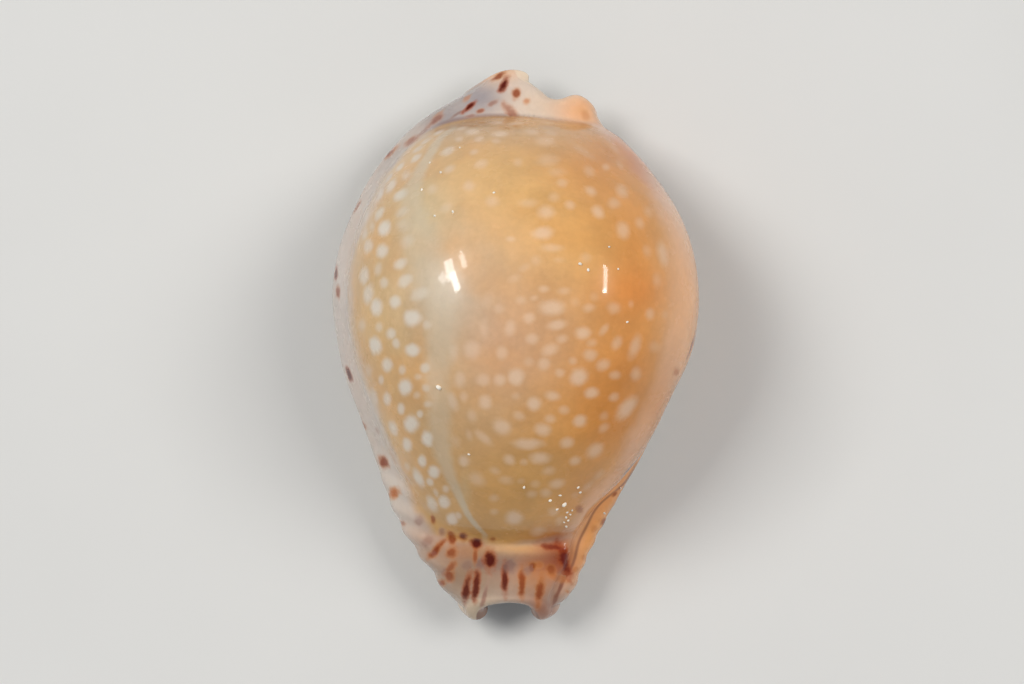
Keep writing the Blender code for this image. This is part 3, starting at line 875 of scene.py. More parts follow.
LEFT_SPOTS = (
    (391, 186, 16, 8, 60, 0.8), (400, 195, 15, 9, 40, 0.9), (380, 195, 14, 6, 70, 0.7),
    (379, 214, 15, 7, 60, 0.8), (366, 216, 14, 6, 70, 0.5), (402, 212, 14, 9, 35, 0.5),
    (384, 228, 16, 12, 65, 1.0), (372, 227, 12, 6, 80, 0.4), (365, 234, 13, 7, 80, 0.5),
    (402, 225, 14, 13, 0, 0.3), (368, 246, 14, 9, 80, 0.7), (382, 251, 14, 11, 70, 0.9),
    (407, 241, 14, 12, 45, 0.4), (378, 269, 13, 8, 80, 0.5), (400, 264, 14, 10, 35, 0.8),
    (364, 276, 17, 10, 90, 0.8), (384, 283, 11, 9, 80, 0.6), (405, 281, 16, 11, 35, 0.8),
    (368, 294, 20, 11, 85, 0.8), (395, 302, 12, 11, 90, 0.9), (376, 307, 17, 12, 90, 1.0),
    (420, 294, 19, 12, 20, 0.6), (412, 318, 17, 16, 0, 1.0), (427, 325, 9, 9, 0, 0.5),
    (362, 325, 13, 8, 90, 0.4), (379, 327, 10, 8, 90, 0.5), (391, 334, 11, 10, 90, 0.8),
    (396, 343, 11, 8, 110, 0.7), (375, 346, 17, 12, 100, 1.0), (412, 350, 14, 12, 0, 1.0),
    (387, 365, 13, 11, 90, 0.9), (402, 370, 10, 7, 90, 0.6), (425, 368, 10, 9, 0, 0.7),
    (369, 370, 12, 8, 95, 0.3), (381, 380, 10, 6, 90, 0.6), (418, 377, 8, 7, 0, 0.4),
    (405, 387, 16, 14, 90, 1.0), (426, 388, 9, 8, 0, 0.5), (387, 399, 13, 8, 95, 0.8),
    (374, 396, 16, 9, 105, 0.6), (417, 395, 8, 8, 0, 0.4), (401, 409, 11, 8, 95, 0.8),
    (420, 414, 8, 7, 90, 0.7), (428, 404, 9, 7, 0, 0.5), (411, 424, 17, 14, 95, 1.0),
    (393, 428, 15, 8, 110, 0.8), (427, 439, 15, 11, 100, 1.0), (407, 445, 14, 9, 105, 0.9),
    (422, 461, 12, 8, 100, 0.9), (434, 472, 13, 11, 100, 1.0), (418, 478, 19, 9, 115, 0.9),
    (430, 482, 9, 7, 110, 0.7), (446, 489, 8, 7, 100, 0.6), (432, 504, 17, 10, 115, 0.8),
    (444, 502, 13, 11, 110, 1.0), (452, 519, 12, 11, 100, 1.0), (458, 516, 8, 7, 100, 0.7),
    (436, 493, 10, 5, 115, 0.5), (407, 467, 10, 6, 110, 0.4),
)
HIND_SPOTS = (
    (497, 123, 15, 5, 0, 0.7), (514, 124, 11, 4, 0, 0.5), (473, 132, 14, 7, 5, 0.8),
    (500, 134, 16, 6, 0, 0.8), (479, 139, 10, 6, 5, 0.7), (459, 139, 9, 6, 10, 0.5),
    (448, 151, 15, 8, 30, 0.8), (474, 152, 10, 6, 20, 0.6), (481, 164, 14, 9, 20, 0.6),
    (449, 169, 13, 8, 30, 0.5), (462, 128, 12, 5, 15, 0.5), (439, 132, 12, 5, 30, 0.7),
    (416, 158, 13, 6, 40, 0.8), (418, 149, 13, 5, 35, 0.6), (426, 141, 13, 5, 35, 0.6),
    (400, 167, 11, 6, 50, 0.8), (406, 175, 12, 9, 60, 0.5), (389, 178, 10, 6, 60, 0.6),
    (496, 141, 10, 6, 0, 0.5), (518, 162, 10, 9, 0, 0.4), (519, 123, 16, 4, 0, 0.5),
    (549, 123, 14, 4, -5, 0.4), (532, 132, 14, 7, -5, 0.5), (551, 133, 12, 6, -5, 0.4),
    (546, 141, 22, 11, 0, 0.5), (548, 160, 22, 13, 0, 0.4), (583, 151, 26, 8, -35, 0.3),
    (608, 139, 24, 6, -45, 0.3), (615, 148, 14, 6, -50, 0.3), (606, 167, 8, 7, 0, 0.5),
    (589, 171, 13, 10, -40, 0.4), (557, 172, 18, 10, 0, 0.3), (620, 165, 12, 6, -55, 0.3),
    (469, 186, 12, 11, 0, 0.5), (492, 201, 14, 12, 0, 0.5), (446, 208, 14, 10, 30, 0.3),
    (432, 189, 12, 10, 40, 0.3), (511, 239, 10, 6, 0, 0.5),
)
RIGHT_SPOTS = (
    (546, 212, 17, 14, 0, 0.8), (543, 233, 21, 12, 5, 1.0), (528, 203, 20, 9, 0, 0.5),
    (554, 197, 12, 10, 0, 0.5), (570, 205, 11, 9, -20, 0.7), (591, 191, 12, 9, -30, 0.8),
    (598, 212, 14, 11, -50, 0.9), (614, 203, 13, 11, 0, 0.6), (622, 191, 15, 12, -60, 0.7),
    (649, 212, 12, 9, -70, 0.4), (623, 230, 17, 13, -80, 0.8), (640, 223, 12, 9, -70, 0.5),
    (663, 254, 25, 11, -80, 0.8), (647, 251, 13, 9, -80, 0.4), (657, 280, 15, 9, 90, 0.4),
    (562, 183, 11, 9, -10, 0.6), (552, 248, 22, 8, 0, 0.6), (536, 260, 11, 11, 0, 0.4),
    (559, 260, 12, 6, 0, 0.3), (586, 258, 12, 10, 0, 0.4), (524, 268, 15, 8, 30, 0.4),
    (515, 278, 14, 9, 20, 0.4), (544, 289, 11, 8, 0, 0.7), (564, 291, 13, 8, 0, 0.5),
    (521, 300, 12, 9, 0, 0.5), (534, 298, 9, 6, 15, 0.5), (552, 308, 24, 15, 5, 1.0),
    (529, 318, 12, 11, 0, 0.8), (510, 328, 16, 12, 80, 0.8), (557, 325, 19, 10, 10, 0.9),
    (583, 333, 15, 12, 0, 1.0), (589, 308, 13, 9, 15, 0.6), (575, 302, 10, 10, 0, 0.3),
    (594, 297, 10, 10, 0, 0.3), (614, 308, 14, 12, 0, 0.6), (631, 304, 8, 6, 90, 0.4),
    (650, 314, 12, 9, 90, 0.7), (665, 315, 9, 7, 90, 0.3), (532, 339, 13, 11, 0, 0.8),
    (562, 339, 12, 9, 10, 0.7), (550, 350, 18, 12, 25, 0.8), (604, 330, 14, 7, 55, 0.6),
    (592, 343, 11, 9, 20, 0.5), (617, 343, 15, 10, 60, 0.7), (635, 347, 24, 11, 70, 0.8),
    (655, 347, 13, 12, 0, 0.4), (590, 355, 14, 12, 0, 0.8), (603, 365, 14, 12, 30, 0.8),
    (544, 364, 14, 12, 50, 0.8), (573, 361, 9, 8, 0, 0.6), (529, 362, 11, 10, 0, 0.5),
    (502, 353, 14, 12, 90, 0.8), (560, 373, 10, 9, 0, 0.7), (615, 375, 12, 9, 0, 0.7),
    (636, 374, 14, 11, 80, 0.7), (472, 350, 18, 16, 90, 0.8), (484, 329, 20, 10, 85, 0.5),
    (454, 352, 16, 10, 90, 0.5), (499, 309, 12, 10, 0, 0.5), (487, 301, 16, 13, 60, 0.4),
)
FORE_SPOTS = (
    (516, 377, 16, 16, 0, 1.0), (500, 380, 13, 12, 0, 0.8), (483, 380, 14, 12, 0, 0.7),
    (460, 380, 16, 12, 95, 0.6), (579, 377, 18, 16, 40, 1.0), (534, 404, 14, 13, 0, 1.0),
    (553, 396, 15, 10, -10, 0.8), (592, 393, 15, 11, 10, 0.9), (516, 396, 9, 8, 0, 0.4),
    (485, 402, 15, 13, 100, 0.9), (453, 402, 20, 10, 110, 0.6), (464, 397, 11, 9, 100, 0.5),
    (614, 397, 11, 9, 30, 0.6), (627, 408, 27, 14, 50, 0.9), (564, 410, 11, 9, 0, 0.6),
    (519, 416, 13, 9, -20, 0.6), (472, 416, 14, 10, 110, 0.5), (550, 419, 12, 9, 0, 0.6),
    (502, 427, 19, 15, -25, 0.9), (543, 430, 17, 13, -10, 0.9), (580, 421, 14, 12, 20, 0.9),
    (604, 416, 10, 9, 40, 0.4), (604, 428, 12, 9, 40, 0.5), (484, 438, 20, 9, -40, 0.7),
    (469, 435, 12, 7, 105, 0.4), (456, 442, 14, 9, 110, 0.3), (528, 444, 29, 11, 0, 0.9),
    (567, 443, 14, 11, 10, 0.8), (540, 458, 20, 12, 0, 0.9), (595, 451, 19, 13, 40, 0.8),
    (509, 460, 12, 10, -30, 0.8), (524, 462, 8, 7, 0, 0.5), (575, 461, 12, 9, 20, 0.7),
    (464, 461, 12, 11, 110, 0.8), (549, 471, 14, 9, 10, 0.5), (495, 471, 12, 8, -25, 0.5),
    (477, 479, 18, 13, -40, 0.6), (506, 480, 15, 9, -10, 0.5), (521, 481, 8, 6, 0, 0.3),
    (535, 484, 10, 8, 0, 0.4), (557, 484, 16, 10, 20, 0.7), (599, 475, 14, 7, 45, 0.4),
    (588, 486, 16, 6, 45, 0.4), (532, 494, 11, 8, 0, 0.5), (546, 493, 12, 9, 0, 0.6),
    (494, 498, 10, 8, 0, 0.5), (494, 512, 9, 7, 0, 0.5), (514, 518, 17, 14, 0, 1.0),
    (553, 512, 11, 9, 10, 0.6), (560, 521, 11, 9, 20, 0.5), (538, 532, 16, 10, 15, 0.6),
    (575, 495, 8, 6, 30, 0.3),
)
HIND_MARKS = (
    (499, 76, 12, 6, 50, 0.8, Tint.BROWN), (504, 84, 16, 7, 60, 1.0, Tint.DARK),
    (516, 94, 11, 8, 80, 0.8, Tint.BROWN), (527, 101, 8, 7, 60, 0.5, Tint.ORANGE),
    (512, 114, 15, 6, -15, 0.5, Tint.BROWN), (467, 98, 10, 5, 45, 0.4, Tint.ORANGE),
    # the grey one here is painted shade along the hind crease
    (469, 107, 17, 5, 40, 1.0, Tint.DARK), (457, 114, 16, 3, 35, 0.5, Tint.SHADE_GREY),
    (493, 103, 12, 5, 30, 0.6, Tint.MAUVE), (480, 111, 8, 4, 15, 0.6, Tint.BROWN),
    (470, 116, 10, 4, 10, 0.5, Tint.MAUVE), (436, 120, 19, 6, 40, 0.8, Tint.MAUVE),
    (424, 131, 16, 4, 40, 0.4, Tint.MAUVE), (412, 141, 18, 6, 40, 0.5, Tint.BROWN),
    (390, 153, 13, 5, 45, 0.8, Tint.BROWN), (464, 92, 14, 5, 30, 0.3, Tint.ORANGE),
    (439, 114, 12, 5, 40, 0.3, Tint.ORANGE), (396, 148, 10, 5, 45, 0.3, Tint.ORANGE),
    (585, 115, 14, 9, -60, 0.25, Tint.ORANGE),
)
LEFT_MARKS = (
    (357, 207, 16, 4, 60, 0.7, Tint.BROWN), (336, 273, 14, 4, 90, 0.8, Tint.DARK),
    (338, 292, 13, 5, 90, 0.7, Tint.BROWN), (349, 374, 16, 5, -70, 0.9, Tint.DARK),
    (364, 426, 10, 4, -65, 0.5, Tint.BROWN), (384, 462, 13, 11, -50, 0.9, Tint.BROWN),
    (394, 493, 13, 10, 20, 0.9, Tint.ORANGE), (378, 431, 9, 4, -60, 0.3, Tint.MAUVE),
    (419, 521, 11, 10, 0, 0.4, Tint.MAUVE), (402, 523, 7, 5, -50, 0.5, Tint.BROWN),
    (433, 519, 10, 5, 90, 0.7, Tint.BROWN), (442, 532, 11, 7, 110, 0.6, Tint.MAUVE),
    (441, 583, 8, 6, -30, 0.7, Tint.BROWN), (427, 542, 14, 11, 50, 0.4, Tint.MAUVE),
)
FORE_MARKS = (
    (452, 537, 11, 7, 110, 0.8, Tint.BROWN), (463, 536, 7, 6, 0, 0.8, Tint.DARK),
    (477, 543, 10, 9, 0, 1.0, Tint.DARK), (493, 539, 5, 4, 0, 0.5, Tint.BROWN),
    (436, 550, 21, 6, 50, 0.9, Tint.BROWN), (452, 552, 10, 8, 40, 0.7, Tint.BROWN),
    (475, 557, 14, 4, 90, 0.6, Tint.BROWN), (490, 560, 16, 10, 100, 1.0, Tint.DARK),
    # the grey ones are painted shade in the dip below the neck's ridge
    (480, 564, 11, 9, 0, 0.5, Tint.SHADE_GREY), (467, 565, 10, 9, 0, 0.35, Tint.SHADE_GREY),
    (451, 567, 12, 6, 55, 0.6, Tint.BROWN), (450, 576, 10, 9, 0, 0.7, Tint.BROWN),
    # the grey ones are painted shade in the dip below the neck's ridge
    (446, 572, 10, 9, 0, 0.4, Tint.MAUVE), (510, 566, 12, 10, 90, 0.5, Tint.SHADE_GREY),
    (528, 570, 9, 8, 0, 0.4, Tint.SHADE_GREY), (532, 567, 9, 6, 90, 0.7, Tint.BROWN),
    (490, 607, 7, 3, 10, 0.4, Tint.ORANGE), (466, 590, 28, 6, 80, 0.9, Tint.DARK),
    (476, 586, 28, 6, 85, 0.9, Tint.DARK), (484, 597, 24, 4, 75, 0.6, Tint.MAUVE),
    (505, 579, 29, 6, 90, 0.9, Tint.DARK), (522, 584, 27, 6, 90, 0.8, Tint.BROWN),
    (540, 592, 24, 7, 80, 0.8, Tint.BROWN), (552, 547, 24, 5, -10, 0.7, Tint.RED),
    (565, 561, 28, 8, -78, 1.0, Tint.RED), (551, 569, 10, 7, -60, 0.6, Tint.BROWN),
    (539, 565, 8, 6, 0, 0.4, Tint.ORANGE), (558, 578, 12, 6, 0, 0.35, Tint.ORANGE),
    # the violet marks run down the right groove: partly its tinge, partly painted shade
    (561, 586, 28, 4, 70, 0.6, Tint.VIOLET_AND_SHADE), (555, 600, 18, 4, 70, 0.6, Tint.VIOLET_AND_SHADE),
)
RIGHT_MARKS = (
    (604, 522, 8, 6, 50, 0.7, Tint.BROWN), (594, 529, 9, 7, 50, 0.3, Tint.ORANGE),
    (584, 557, 7, 6, 60, 0.4, Tint.ORANGE), (576, 569, 6, 5, 60, 0.4, Tint.ORANGE),
    (568, 592, 5, 4, 0, 0.6, Tint.ORANGE), (580, 509, 9, 8, 50, 0.5, Tint.BROWN),
    # the violet mark lies on the right groove: partly its tinge, partly painted shade
    (615, 494, 7, 4, 40, 0.7, Tint.BROWN), (629, 469, 18, 5, 50, 0.8, Tint.VIOLET_AND_SHADE),
    (692, 345, 26, 4, 70, 0.8, Tint.BROWN), (676, 372, 10, 6, 70, 0.7, Tint.ORANGE),
)
GRAINS = (
    (441, 173, 3.0), (430, 163, 2.0), (460, 148, 2.0), (422, 190, 2.4), (453, 212, 2.6), (435, 216, 2.4),
    (494, 193, 2.4), (439, 387, 5.0), (469, 454, 2.6), (580, 264, 3.4), (588, 270, 2.8), (609, 247, 2.2),
    (618, 269, 2.0), (627, 322, 2.4), (524, 487, 3.0), (550, 500, 3.0), (564, 504, 4.4), (578, 487, 2.6),
    (580, 492, 2.4), (560, 495, 2.6), (557, 509, 2.6), (567, 512, 2.4), (570, 514, 2.2), (566, 517, 2.4),
    (568, 520, 2.2), (564, 522, 2.0), (566, 526, 2.6), (572, 510, 2.0), (604, 513, 2.4), (620, 488, 2.4),
)


@dataclass(frozen=True)
class Pattern:
    """Lays the colouring and the flecks on the shell's mesh, as attributes that the finish reads.

    Each row of spots has its strength, and each row of marks how much longer and wider it is laid. The lower
    sides have more marks, strewn between two heights and so far apart along the shell; the right side's lie
    lower where its margin is only a narrow roll.
    """

    sight: Sight = Sight()
    colours: Colouring = Colouring()
    seed: int = 7
    spot_rows: tuple[tuple[tuple, float], ...] = (
        (LEFT_SPOTS, 1.0), (HIND_SPOTS, 0.9), (RIGHT_SPOTS, 0.68), (FORE_SPOTS, 0.8),
    )
    mark_rows: tuple[tuple[tuple, float, float], ...] = (
        (HIND_MARKS, 1.0, 1.0), (LEFT_MARKS, 1.0, 1.0), (FORE_MARKS, 1.15, 1.25), (RIGHT_MARKS, 1.0, 1.1),
    )
    sides: tuple[tuple[Facing, float, float, float], ...] = (
        (Facing.LEFT, 1.3, 2.7, 1.25), (Facing.RIGHT, 1.6, 6.0, 0.62),
    )
    strewn_from: float = -13.5
    strewn_to: float = 14.0
    right_roll_end: float = -8.5

    def spots(self) -> list[Fleck]:
        """The cream spots sunk in the tan ground.

        Returns:
            The spots; those of each area stand out by its own share.
        """
        flecks = []
        for rows, share in self.spot_rows:
            for x, y, long, short, lean, strength in rows:
                flecks.append(Fleck((x, y), long, short, lean, strength * share))
        return flecks

    def marks(self) -> list[Fleck]:
        """The marks on the enamel: those seen from above, and more along the lower sides.

        Returns:
            The marks, in the order in which they are laid.
        """
        flecks = list(self.side_marks())
        for rows, longer, wider in self.mark_rows:
            for x, y, long, short, lean, strength, tint in rows:
                flecks.append(Fleck((x, y), long * longer, short * wider, lean, strength, tint))
        return flecks

    def side_marks(self) -> Iterator[Fleck]:
        """Marks of the margins where they turn under, strewn by a seeded rule.

        Yields:
            Flecks on the left and the right side.
        """
        chance = random.Random(self.seed)
        tints = (Tint.BROWN, Tint.BROWN, Tint.DARK, Tint.ORANGE)
        for facing, low, high, apart in self.sides:
            y = self.strewn_from
            while y < self.strewn_to:
                y += apart * chance.uniform(0.6, 1.4)
                z = chance.uniform(low, high)
                if facing is Facing.RIGHT and y < self.right_roll_end:
                    z = chance.uniform(1.4, 2.6)
                    y += 0.6
                tint = chance.choice(tints)
                long = chance.uniform(0.22, 0.48)
                short = long * chance.uniform(0.45, 0.8)
                lean = chance.uniform(0, 180)
                yield Fleck((y, z), long, short, lean, chance.uniform(0.5, 0.95), tint, facing)

    def painted(self, start: Colour, washes: tuple[Wash, ...], x: Grid, y: Grid) -> Grid:
        """Colour at each point after the washes.

        Args:
            start: Colour under the washes.
            washes: Patches, laid one over another.
            x: Points across.
            y: Points along.

        Returns:
            One scene colour for each point.
        """
        colour = np.tile(linear(start), (len(x), 1))
        for wash in washes:
            amount = wash.amount(x, y)[:, None]
            colour = colour * (1 - amount) + np.array(linear(wash.colour)) * amount
        return colour

    def enamel(self, points: Grid, inside: Grid) -> Grid:
        """Colour of the enamel over the margins, the base, the lips and the hollow.

        Args:
            points: The mesh's points, in millimetres.
            inside: How far each point lies inside the hollow.

        Returns:
            One scene colour for each point.
        """
        look = self.colours
        x, y, z = points.T
        colour = self.painted(look.enamel, look.enamel_washes, x, y)
        deep = step(inside, 0.75, 1.0)
        shut = step(y, -16.5, -14.0 - 1.5 * step(x, -1.5, 1.5)) * step(-y, -14.5, -11.0)
        for paint, amount in (
            (look.base, step(-z, -3.4, -1.2)),
            (look.canal, deep),
            (look.fore_canal, deep * step(-y, 14.0, 15.5)),
            (look.hollow, deep * shut),
        ):
            colour = colour * (1 - amount[:, None]) + np.array(linear(paint)) * amount[:, None]
        return colour

    def tan_depth(self, points: Grid, inside: Grid) -> Grid:
        """How far each point lies inside the tan field, counted in widths of its soft edge.

        Args:
            points: The mesh's points, in millimetres.
            inside: How far each point lies inside the hollow.

        Returns:
            A number from -3, well outside, to 3, well inside.
        """
        look = self.colours
        x, y, z = points.T
        left = (x - spline(look.tan_left, y)) / 0.5
        right = (spline(look.tan_right, y) - x) / 0.6
        hind = (spline(look.tan_hind, x) - y) / 0.1
        fore = (y - look.tan_fore - 0.03 * (x + 1) ** 2) / 0.25
        low = (z - 4.5 - 1.5 * step(x, 2.0, 8.0)) / 0.4
        edge = np.minimum.reduce([left, right, hind, fore, low])
        return np.where(inside > 0, -3.0, np.clip(edge, -3, 3))

    def lay(self, mesh: bpy.types.Mesh, points: Grid, inside: Grid, skin: BVHTree) -> None:
        """Write the attributes.

        Args:
            mesh: The shell's mesh.
            points: Its points, in millimetres.
            inside: How far each point lies inside the hollow.
            skin: The same mesh for casting flecks onto, in millimetres.
        """
        look = self.colours
        x, y, _ = points.T
        self.paint(mesh, "ground", self.painted(look.ground, look.ground_washes, x, y), "POINT")
        self.paint(mesh, "enamel", self.enamel(points, inside), "POINT")
        self.measure(mesh, "field", self.tan_depth(points, inside))
        self.lay_lines(mesh, points, inside)
        self.lay_flecks(mesh, points, skin)

    def lay_lines(self, mesh: bpy.types.Mesh, points: Grid, inside: Grid) -> None:
        """Write how far each point lies from the pale line, from the painted shade along the hind crease and
        from the right groove's line, which is partly painted shade, and their strength.

        Args:
            mesh: The shell's mesh.
            points: Its points, in millimetres.
            inside: How far each point lies inside the hollow.
        """
        look = self.colours
        x, y, z = points.T
        outside = inside <= 0
        top = step(z, 3.0, 5.0) * outside
        self.measure(mesh, "line_away", (x - spline(look.mantle, y)) / spline(look.mantle_half, y))
        strength = spline(look.mantle_strength, y) * top * step(y, -13.2, -12.3) * step(-y, -14.6, -14.0)
        self.measure(mesh, "line_strength", strength)
        # painted shade along the hind crease, strongest on the left
        self.measure(mesh, "crease_away", y - spline(look.tan_hind, x) - 0.02)
        crease = top * step(x, -6.0, -4.6) * (0.45 + 0.55 * step(-x, -1.0, 1.0)) * step(-x, -5.6, -4.4)
        self.measure(mesh, "crease_strength", crease)
        # the right groove's line: partly its violet tinge, partly painted shade
        self.measure(mesh, "groove_away", x - spline(Plan().right_groove, y))
        groove = step(z, 2.6, 3.6) * step(-y, 7.2, 8.6) * step(y, -17.4, -16.4) * outside
        self.measure(mesh, "groove_strength", groove)

    def lay_flecks(self, mesh: bpy.types.Mesh, points: Grid, skin: BVHTree) -> None:
        """Write each face corner's place on the two flecks nearest its face, and their colours.

        Args:
            mesh: The shell's mesh.
            points: Its points, in millimetres.
            skin: The same mesh for casting flecks onto, in millimetres.
        """
        loops = np.empty(len(mesh.polygons), int)
        mesh.polygons.foreach_get("loop_total", loops)
        corner_face = np.repeat(np.arange(len(loops)), loops)
        corner_vertex = np.empty(len(mesh.loops), int)
        mesh.loops.foreach_get("vertex_index", corner_vertex)
        centres, normals = np.empty(len(loops) * 3), np.empty(len(loops) * 3)
        mesh.polygons.foreach_get("center", centres)
        mesh.polygons.foreach_get("normal", normals)
        centres, normals = centres.reshape(-1, 3) / MM, normals.reshape(-1, 3)
        corners = points[corner_vertex]
        for name, flecks in (("spot", self.spots()), ("mark", self.marks())):
            placed = Placed(flecks, skin, self.sight)
            LOG.info("%ss: %d placed, %d off the shell", name, placed.count, placed.missed)
            found = placed.nearest(centres, normals)
            for column, layer in enumerate(LAYERS):
                pick = found[:, column][corner_face]
                data = mesh.attributes.new(f"{name}_{layer}", "FLOAT_VECTOR", "CORNER").data
                data.foreach_set("vector", placed.measured(corners, pick).astype(np.float32).ravel())
                if name == "mark":
                    self.paint(mesh, f"core_{layer}", placed.core[pick], "CORNER")
                    self.paint(mesh, f"halo_{layer}", placed.halo[pick], "CORNER")

    @staticmethod
    def paint(mesh: bpy.types.Mesh, name: str, colour: Grid, domain: str) -> None:
        """Write a colour attribute.

        Args:
            mesh: Mesh to write to.
            name: Name of the attribute.
            colour: One scene colour for each element.
            domain: POINT or CORNER.
        """
        data = mesh.attributes.new(name, "FLOAT_COLOR", domain).data
        full = np.concatenate([colour, np.ones((len(colour), 1))], axis=1)
        data.foreach_set("color", full.astype(np.float32).ravel())

    @staticmethod
    def measure(mesh: bpy.types.Mesh, name: str, value: Grid) -> None:
        """Write one number for each point as an attribute."""
        mesh.attributes.new(name, "FLOAT", "POINT").data.foreach_set("value", value.astype(np.float32))


# Finishes


class Graph:
    """Short ways to wire a material's nodes."""

    # a colour Mix node's sockets, which share their names with those of its other kinds
    MIX_FIRST = 6
    MIX_SECOND = 7
    MIX_RESULT = 2

    def __init__(self, name: str) -> None:
        """Start a material with its standard shader.

        Args:
            name: Name of the material.
        """
        self.material = bpy.data.materials.new(name)
        self.material.use_nodes = True
        self.nodes = self.material.node_tree.nodes
        self.links = self.material.node_tree.links
        self.shader = self.nodes["Principled BSDF"]
        self.place = self.nodes.new("ShaderNodeTexCoord").outputs["Object"]

    def put(self, socket: Socket, value: Socket | float | tuple) -> None:
        """Link a socket into another, or set its value.

        Args:
            socket: Input to fill.
            value: What goes into it.
        """
        if isinstance(value, bpy.types.NodeSocket):
            self.links.new(value, socket)
        else:
            socket.default_value = value

    def settle(self, **values: float | tuple) -> None:
        """Set the shader's own sockets; an underscore in a name stands for a space.

        Args:
            **values: Value for each socket.
        """
        for name, value in values.items():
            self.shader.inputs[name.replace("_", " ")].default_value = value

    @staticmethod
    def paint(colour: Colour) -> tuple[float, float, float, float]:
        """Full socket value of a colour."""
        return (*linear(colour), 1)

    def attribute(self, name: str, output: str = "Fac") -> Socket:
        """Read one of the mesh's attributes.

        Args:
            name: Name of the attribute.
            output: Fac, Color or Vector.

        Returns:
            The attribute's value.
        """
        node = self.nodes.new("ShaderNodeAttribute")
        node.attribute_name = name
        return node.outputs[output]

    def parts(self, vector: Socket) -> tuple[Socket, Socket, Socket]:
        """The three numbers of a vector.

        Args:
            vector: What to split.

        Returns:
            Its parts along X, Y and Z.
        """
        node = self.nodes.new("ShaderNodeSeparateXYZ")
        self.links.new(vector, node.inputs[0])
        return tuple(node.outputs)

    def product(self, first: Socket, *others: Socket | float) -> Socket:
        """Multiply numbers, from the first on.

        Args:
            first: First number.
            *others: The other numbers.

        Returns:
            Their product.
        """
        for other in others:
            first = self.math("MULTIPLY", first, other)
        return first

    def math(self, operation: str, a: Socket | float, b: Socket | float = 0.0) -> Socket:
        """Combine two numbers.

        Args:
            operation: Name of the sum.
            a: First number.
            b: Second number.

        Returns:
            The result.
        """
        node = self.nodes.new("ShaderNodeMath")
        node.operation = operation
        self.put(node.inputs[0], a)
        self.put(node.inputs[1], b)
        return node.outputs[0]

    def ramp(self, value: Socket, low: Socket | float, high: float, start: float, end: float) -> Socket:
        """Smooth change from start to end while the value goes from low to high.

        Args:
            value: What drives the change.
            low: Value where it begins.
            high: Value where it ends.
            start: Result at low.
            end: Result at high.

        Returns:
            The result.
        """
        node = self.nodes.new("ShaderNodeMapRange")
        node.interpolation_type = "SMOOTHSTEP"
        for name, part in (("Value", value), ("From Min", low), ("From Max", high)):
            self.put(node.inputs[name], part)
        node.inputs["To Min"].default_value = start
        node.inputs["To Max"].default_value = end
        return node.outputs["Result"]

    def mix(self, amount: Socket | float, a: Socket | tuple, b: Socket | tuple, how: str = "MIX") -> Socket:
        """Mix two colours.

        Args:
            amount: Share of the second colour.
            a: First colour.
            b: Second colour.
            how: Way of mixing.

        Returns:
            The mixed colour.
        """
        node = self.nodes.new("ShaderNodeMix")
        node.data_type = "RGBA"
        node.blend_type = how
        node.clamp_factor = True
        self.put(node.inputs["Factor"], amount)
        self.put(node.inputs[self.MIX_FIRST], a)
        self.put(node.inputs[self.MIX_SECOND], b)
        return node.outputs[self.MIX_RESULT]

    def noise(self, scale: float, detail: float = 3.0, stretch: tuple = (1, 1, 1)) -> Socket:
        """Noise through the piece.

        Args:
            scale: Waves in a metre.
            detail: How many finer layers it has.
            stretch: Scale along each axis.

        Returns:
            A number round 0.5.
        """
        mapping = self.nodes.new("ShaderNodeMapping")
        mapping.inputs["Scale"].default_value = stretch
        self.links.new(self.place, mapping.inputs["Vector"])
        node = self.nodes.new("ShaderNodeTexNoise")
        self.links.new(mapping.outputs[0], node.inputs["Vector"])
        node.inputs["Scale"].default_value = scale
        node.inputs["Detail"].default_value = detail
        return node.outputs["Fac"]

    def bump(self, height: Socket, strength: float, distance: float) -> None:
        """Give the shader a fine relief.

        Args:
            height: Height of the relief, 0 to 1.
            strength: How much of it shows.
            distance: What a height of 1 stands for, in metres.
        """
        node = self.nodes.new("ShaderNodeBump")
        node.inputs["Strength"].default_value = strength
        node.inputs["Distance"].default_value = distance
        self.links.new(height, node.inputs["Height"])
        self.links.new(node.outputs["Normal"], self.shader.inputs["Normal"])


